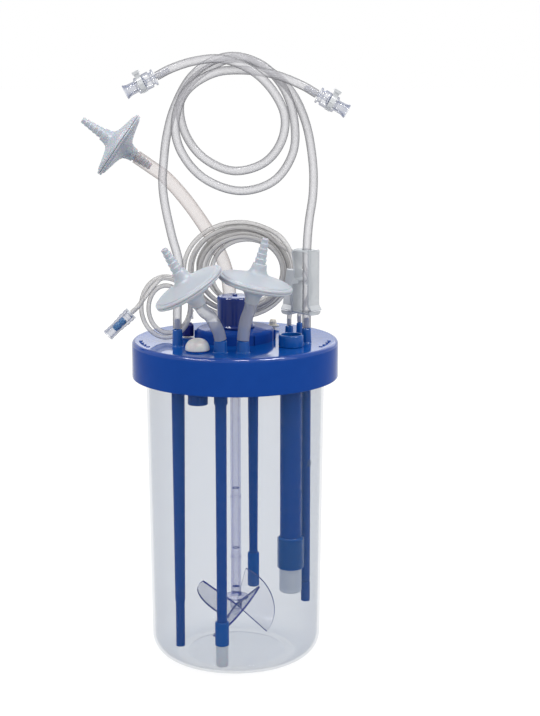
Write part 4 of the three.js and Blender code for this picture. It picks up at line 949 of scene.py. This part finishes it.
class BIOREACTOR_OT_drive(bpy.types.Operator):
    """Build the drive tower, and finish the coupling in it and the shaft's bearing."""

    bl_idname = "bioreactor.drive"
    bl_label = "Drive tower"

    # In millimetres: the tower, its flange, its hollow, its rounded top edge and the stud on its roof.
    radius, height, flange, bend = 16.4, 29, 1.6, 1.8
    hollow, floor, roof, shaft_hole = 13.4, 4.5, 26, 4
    stud_radius, stud_height = 2.3, 1.6

    def execute(self, context):
        side, top, foot, stud = self.radius, self.height, self.radius + self.flange, self.stud_radius
        stud_top = top + self.stud_height
        outline = [
            (0, self.roof),
            (self.hollow, self.roof),
            (self.hollow, self.floor),
            (self.shaft_hole, self.floor),
            (self.shaft_hole, 0),
            (foot, 0),
            (foot, 1.6),
            (foot - 0.8, 2.4),
            (side + 0.1, 3.6),
            (side - 0.1, top - 4.6),
            (side, top - 4),
            *arc(side - self.bend, top - self.bend, self.bend, 0, 90, 6),
            (stud, top),
            (stud, stud_top - 0.4),
            (stud - 0.4, stud_top),
            (0, stud_top),
        ]
        mesh = bmesh.new()
        turn(mesh, eased(outline, 0.3), 72, at(TOWER.x, TOWER.y, TOWER.low))
        mesh.normal_update()
        # Faces that face up at the top of the roof get the paler navy: painted light on the top.
        for face in mesh.faces:
            if abs(face.normal.z) > 0.9 and face.calc_center_median().z > TOWER.low + (top - 0.1) * MM:
                face.material_index = 1
        looks = [finish("polycarbonate_navy"), finish("polycarbonate_navy_painted_lit_top")]
        piece("drive_tower_finished", mesh, looks, ["drive_tower"])
        dress(finish("abs_navy"), "drive_coupling")
        dress(finish("acetal_white"), "shaft_bearing")
        return {"FINISHED"}


class BIOREACTOR_OT_agitator(bpy.types.Operator):
    """Build the three tubes of the shaft, and the impeller with its pitched blades."""

    bl_idname = "bioreactor.agitator"
    bl_label = "Agitator"

    # In millimetres: the shaft's tube, the bead at each end of it and the spigot above it.
    shaft, bore, bead, bead_height, spigot, spigot_length = 4.85, 3.55, 5.2, 1.2, 3.25, 9
    journal, journal_foot = 3.6, 14.4

    # The blades: the height of their middle, how far the lower and upper corner reach and, in degrees,
    # where those corners lie, the first blade's direction and the pitch against the horizontal.
    middle, lower_reach, upper_reach = 45.2, 38.6, 40.8
    lower_corner, upper_corner, blade_azimuth, blade_pitch = -56.4, 56.2, 28.6, 49

    def execute(self, context):
        look, side, bead, tall = finish("polycarbonate_violet"), self.shaft, self.bead, self.bead_height
        for node in ("shaft_upper", "shaft_middle", "shaft_lower"):
            tube = Column(node)
            low, high = tube.low / MM, tube.high / MM
            shoulder, head = high - self.spigot_length, self.spigot
            if node == "shaft_upper":
                shoulder, head = DECK_UNDER / MM - self.journal_foot, self.journal
            outline = [
                (self.bore, low),
                (bead, low),
                (bead, low + tall),
                (side, low + tall + 0.6),
                (side, shoulder - tall - 0.6),
                (bead, shoulder - tall),
                (bead, shoulder),
                (self.bore, shoulder),
            ]
            mesh = bmesh.new()
            turn(mesh, eased(outline, 0.4), 40)
            # The spigot fits its socket without a gap, so only its end shows as a line in the clear tube.
            turn(mesh, [(head - 1.3, high - 0.4), (head, high - 0.4), (head, high), (head - 1.3, high)], 40)
            piece(f"{node}_finished", mesh, [look], [node], "agitator")
        self.impeller()
        return {"FINISHED"}

    def impeller(self):
        mesh, middle, spigot = bmesh.new(), self.middle, self.spigot
        hub = [
            (0, middle - 10),
            (2.6, middle - 10),
            (3.4, middle - 9.2),
            (3.4, middle - 3),
            (5.4, middle - 3),
            (6, middle + 7),
            (11.5, middle + 7),
            (11.5, middle + 9.2),
            (0, middle + 9.2),
        ]
        turn(mesh, eased(hub, 0.5), 48)
        end = middle + 18.2
        turn(mesh, [(0, end - 0.3), (spigot, end - 0.3), (spigot, end), (0, end)], 40)
        tilt = Matrix.Rotation(math.radians(self.blade_pitch - 90), 4, "X")
        tilt = tilt @ Matrix.Rotation(math.pi / 2, 4, "X")
        for i in range(3):
            place = at(0, 0, middle * MM, self.blade_azimuth + 120 * i) @ tilt
            faces = prism(mesh, self.blade(), -0.9, 0.9, place, 2)
            # The blades' side faces get the violet painted dark: painted shade on their edges.
            for face in faces[2:]:
                face.material_index = 1
        finishes = ("polycarbonate_violet", "polycarbonate_violet_painted_dark_edge", "polycarbonate_violet_blade")
        looks = [finish(name) for name in finishes]
        piece("impeller_finished", mesh, looks, ["impeller"], "agitator", 25)

    def blade(self):
        """A blade's outline: radial along X, its chord along Y."""
        outline = [(0, 0)]
        steps = 24
        for i in range(steps + 1):
            share = i / steps
            angle = math.radians(self.lower_corner + share * (self.upper_corner - self.lower_corner))
            reach = self.lower_reach + share * (self.upper_reach - self.lower_reach)
            outline.append((reach * math.cos(angle), reach * math.sin(angle)))
        return outline


# ---------------------------------------------------------------- tubes and probe


class BIOREACTOR_OT_dip_tubes(bpy.types.Operator):
    """Build the dip tubes with their sleeves, boots and collars."""

    bl_idname = "bioreactor.dip_tubes"
    bl_label = "Dip tubes"

    # Outside radius at the head, above and below the shoulder; heights of the shoulder and the end; bore.
    tubes = {
        "sample_dip_tube": (6, 4.65, 4.2, 61.3, 17, 2.3),
        "sparge_tube": (5.15, 4.65, 4.65, 60, 34, 1.9),
        "level_dip_tube": (5.1, 4.1, 4.1, 84, 60, 1.9),
        "harvest_dip_tube": (4.15, 4.1, 3.1, 76, 66, 1.4),
    }

    def execute(self, context):
        top = TUBE_TOP / MM
        for node, (head, foot, tail, shoulder, end, bore) in self.tubes.items():
            outline = [
                (bore, end),
                (tail, end),
                (tail, shoulder - 1),
                (foot, shoulder),
                (head, top - 48),
                (head, top),
                (bore + 1, top),
                (bore + 1, top - 10.6),
                (bore, top - 11.6),
            ]
            self.tube(node, outline, "polypropylene_blue", "tube_blue")
        self.tube(
            "sparge_sleeve",
            [(5.45, top - 43), (6.15, top - 43), (6.15, top), (5.45, top)],
            "polypropylene_blue",
            "tube_blue",
        )
        # The sparger's collar and the level tube's boot are painted a lighter blue than the tubes: painted
        # light.
        collar = [(4.95, 33.7), (5.9, 33.7), (5.9, 28.7), (6.4, 28.7), (6.4, 50.2), (5.8, 51), (4.95, 51)]
        self.tube("sparger_collar", collar, "polypropylene_blue_painted_lighter", "tube_blue")
        tip = [(0, 8.4), (5, 8.4), (5.6, 9), (5.6, 33.4), (2, 33.4), (2, 12.4), (0, 12.4)]
        self.tube("sparger_tip", tip, "polyethylene_sintered", "sinter_white")
        boot = [(0, 47), (5, 47), (5.65, 48), (5.65, 79.9), (5.1, 81), (4.4, 81), (4.4, 59.7), (0, 59.7)]
        self.tube("level_tube_boot", boot, "polypropylene_blue_painted_lighter", "tube_blue")
        sleeve = [(3.4, 56), (4.2, 56), (4.2, 74.7), (3.4, 74.7)]
        self.tube("harvest_tube_sleeve", sleeve, "polypropylene_blue", "tube_blue")
        return {"FINISHED"}

    def tube(self, node, outline, look, slot):
        place = Column(node)
        turned_piece(node, outline, finish(look), at(place.x, place.y), 40, rounding=0.4)


class BIOREACTOR_OT_probe(bpy.types.Operator):
    """Build the probe's gland, sleeve, collar with its clear ring, and frosted cap."""

    bl_idname = "bioreactor.probe"
    bl_label = "Probe sleeve"

    def execute(self, context):
        top, deck, place = TUBE_TOP / MM, DECK_TOP / MM, at(PROBE.x, PROBE.y)
        sleeve = [(8.2, 110), (9.8, 110), (9.8, top), (8.2, top)]
        turned_piece("probe_sleeve", sleeve, finish("polypropylene_blue"), place, 64)
        collar = [(10.1, 124), (10.1, 111), (10.55, 110), (10.55, 94), (11.3, 94), (11.3, 123), (10.5, 124)]
        # The collar is painted the lighter tube blue: painted light.
        turned_piece("probe_collar", collar, finish("polypropylene_blue_painted_lighter"), place, 64)
        ring = [(11.6, 95), (12.4, 95), (12.4, 122.5), (11.6, 122.5)]
        turned_piece("probe_collar_ring", ring, finish("polycarbonate_ring"), place, 64)
        cap = [(0, 71), (9, 71), (10.25, 72.2), (10.25, 109.7), (8.25, 109.7), (8.25, 74), (0, 74)]
        turned_piece("probe_membrane_cap", cap, finish("polypropylene_frosted"), place, 64)
        gland = [
            (6.5, top - 9.7),
            (7.9, top - 9.7),
            (7.9, deck + 0.3),
            (11.2, deck + 0.3),
            (11.2, deck + 10.2),
            (10.4, deck + 11),
            (8.8, deck + 11),
            (8.8, deck + 2),
            (6.5, deck + 2),
        ]
        # The gland is painted the lighter port blue: painted light.
        look = finish("polycarbonate_blue_painted_lighter")
        turned_piece("probe_gland", gland, look, place, 64, rounding=0.5)
        return {"FINISHED"}


# ---------------------------------------------------------------- filters and fittings


class BIOREACTOR_OT_filters(bpy.types.Operator):
    """Build the three disc vent filters with their stepped barbs."""

    bl_idname = "bioreactor.filters"
    bl_label = "Vent filters"

    # In millimetres: the disc, the stem that rises from its cone, and the barbs on it.
    radius, seam, cone, stem_radius, stem_taper = 33.2, 0.15, 16, 5.6, 0.1
    stem_end, barb_pitch, bore, bore_depth = 41, 4.6, 1.7, 4

    def execute(self, context):
        for name, (place, free, barb) in FILTERS.items():
            back = [-value for value in free]
            self.shell(f"{name}_filter_outer_shell", pointing(place, free), self.stem_end, False)
            self.shell(f"{name}_filter_inner_shell", pointing(place, back), barb, name == "exhaust")
        return {"FINISHED"}

    def shell(self, node, place, end, nub):
        """A half: stepped rim, dome, cone, and a tapered stem with as many barbs as it has room for."""
        rim, cone, bore, inside = self.radius, self.cone, self.bore, end - self.bore_depth
        outline = [
            (0, self.seam),
            (rim, self.seam),
            (rim, 1.4),
            (rim - 0.5, 2.1),
            (rim - 2.8, 2.3),
            (rim - 3.3, 3.4),
            (24, 4.7),
            (15.5, 6.7),
            (10.8, 8.2),
            (8.4, 9.8),
            (7.0, 12.8),
            (self.stem(cone) + 0.5, cone + 2),
        ]
        barbs = int((end - cone) / self.barb_pitch)
        for i in range(barbs):
            foot = end - (barbs - i) * self.barb_pitch
            outline += [(self.stem(foot) + 0.1, foot - 0.3), (self.stem(foot) - 0.75, foot + 0.5)]
        outline += [(self.stem(end), end - 1), (self.stem(end) - 0.6, end)]
        outline += [(bore, end), (bore, inside), (0, inside)]
        mesh = bmesh.new()
        turn(mesh, eased(outline, 0.4, 2), 96, place)
        if nub:
            peg = place @ Matrix.Translation((0, 0, cone * MM)) @ Matrix.Rotation(math.pi / 2, 4, "X")
            turn(mesh, eased([(0, 3), (1.9, 3), (1.9, 10), (0, 10)], 0.4), 24, peg)
        piece(f"{node}_finished", mesh, [finish("polypropylene_milky")], [node])

    def stem(self, height):
        """The tapered stem's radius at a height over the seam."""
        return self.stem_radius - self.stem_taper * (height - self.cone)


class BIOREACTOR_OT_fittings(bpy.types.Operator):
    """Build the couplings and the luer valve, and finish the latches and clamps."""

    bl_idname = "bioreactor.fittings"
    bl_label = "Couplings, luers and clamps"

    def execute(self, context):
        for side, (place, along, spin) in COUPLINGS.items():
            self.coupling(f"{side}_coupling_body", pointing(place, along, spin))
            dress(finish("acetal_latch"), f"{side}_coupling_latch")
        self.luer()
        dress(finish("polypropylene_clamp"), "medium_clamp_frame", "medium_clamp_lever")
        dress(finish("polypropylene_clamp"), "feed_clamp_frame", "feed_clamp_lever")
        return {"FINISHED"}

    def coupling(self, node, place):
        outline = [
            (1.5, -14),
            (2.1, -14),
            (2.9, -11),
            (2.2, 0),
            (7.6, 0),
            (7.6, 1.8),
            (5.8, 2.2),
            (5.8, 4),
            (7.6, 4.6),
            (7.6, 10.6),
            (4.7, 10.6),
            (4.7, 16.4),
            (7.6, 16.4),
            (7.6, 18.2),
            (5.2, 19),
            (5.4, 26),
            (6.8, 30),
            (6.1, 30),
            (3.9, 25),
            (3.9, 9.6),
            (1.5, 8.6),
        ]
        turned_piece(node, outline, finish("polycarbonate_tinted"), place, 48, rounding=0.3)

    def luer(self):
        place = pointing(LUER_AT, LUER_ALONG)
        body = [
            (3.8, 0.6),
            (5.5, 0.6),
            (6.1, 1.4),
            (6.1, 3.8),
            (5.5, 4.4),
            (5.5, 5.4),
            (6.1, 6),
            (6.1, 8.6),
            (5.4, 9.4),
            (5.7, 11.4),
            (5.2, 12),
            (5.5, 15.4),
            (5, 16),
            (5, 22.4),
            (5.3, 23),
            (4.9, 24.5),
            (5.4, 28.5),
            (3.7, 28.5),
            (3.7, 7),
            (3.8, 6.6),
        ]
        look = finish("polycarbonate_tinted")
        turned_piece("luer_valve_body", body, look, place, 48, rounding=0.3)
        piston = [
            (0, 7.4),
            (2.5, 7.4),
            (3.3, 8.4),
            (3.3, 11.4),
            (2.7, 12.2),
            (2.7, 13.6),
            (3.3, 14.4),
            (3.3, 17.4),
            (2.6, 20.4),
            (0, 20.4),
        ]
        look = finish("elastomer_blue")
        turned_piece("luer_valve_piston", piston, look, place, 40, "valve_piston", 0.3)
        dress(finish("polycarbonate_white"), "luer_barb")
        dress(finish("polycarbonate_tinted"), "base_line_luer")


# ---------------------------------------------------------------- panel and running


class BIOREACTOR_PT_panel(bpy.types.Panel):
    """The bioreactor's sizes, colours and pieces."""

    bl_idname = "BIOREACTOR_PT_panel"
    bl_label = "Bench bioreactor"
    bl_space_type = "VIEW_3D"
    bl_region_type = "UI"
    bl_category = "Bioreactor"

    def draw(self, context):
        for group in (sizes(), colours()):
            box = self.layout.box()
            for name in group.__annotations__:
                box.prop(group, name)
        for name in ORDER:
            self.layout.operator(f"bioreactor.{name}")


CLASSES = [
    BioreactorSizes,
    BioreactorColours,
    BIOREACTOR_OT_stage,
    BIOREACTOR_OT_hoses,
    BIOREACTOR_OT_feed_lines,
    BIOREACTOR_OT_gas_hoses,
    BIOREACTOR_OT_vessel,
    BIOREACTOR_OT_head_plate,
    BIOREACTOR_OT_closures,
    BIOREACTOR_OT_drive,
    BIOREACTOR_OT_agitator,
    BIOREACTOR_OT_dip_tubes,
    BIOREACTOR_OT_probe,
    BIOREACTOR_OT_filters,
    BIOREACTOR_OT_fittings,
    BIOREACTOR_PT_panel,
]
ORDER = [
    "stage",
    "hoses",
    "feed_lines",
    "gas_hoses",
    "vessel",
    "head_plate",
    "closures",
    "drive",
    "agitator",
    "dip_tubes",
    "probe",
    "filters",
    "fittings",
]


def register():
    for cls in CLASSES:
        bpy.utils.register_class(cls)
    bpy.types.Scene.bioreactor_sizes = PointerProperty(type=BioreactorSizes)
    bpy.types.Scene.bioreactor_colours = PointerProperty(type=BioreactorColours)


def unregister():
    del bpy.types.Scene.bioreactor_colours
    del bpy.types.Scene.bioreactor_sizes
    for cls in reversed(CLASSES):
        bpy.utils.unregister_class(cls)


def main():
    register()
    for name in ORDER:
        getattr(bpy.ops.bioreactor, name)()


if __name__ == "__main__":
    main()
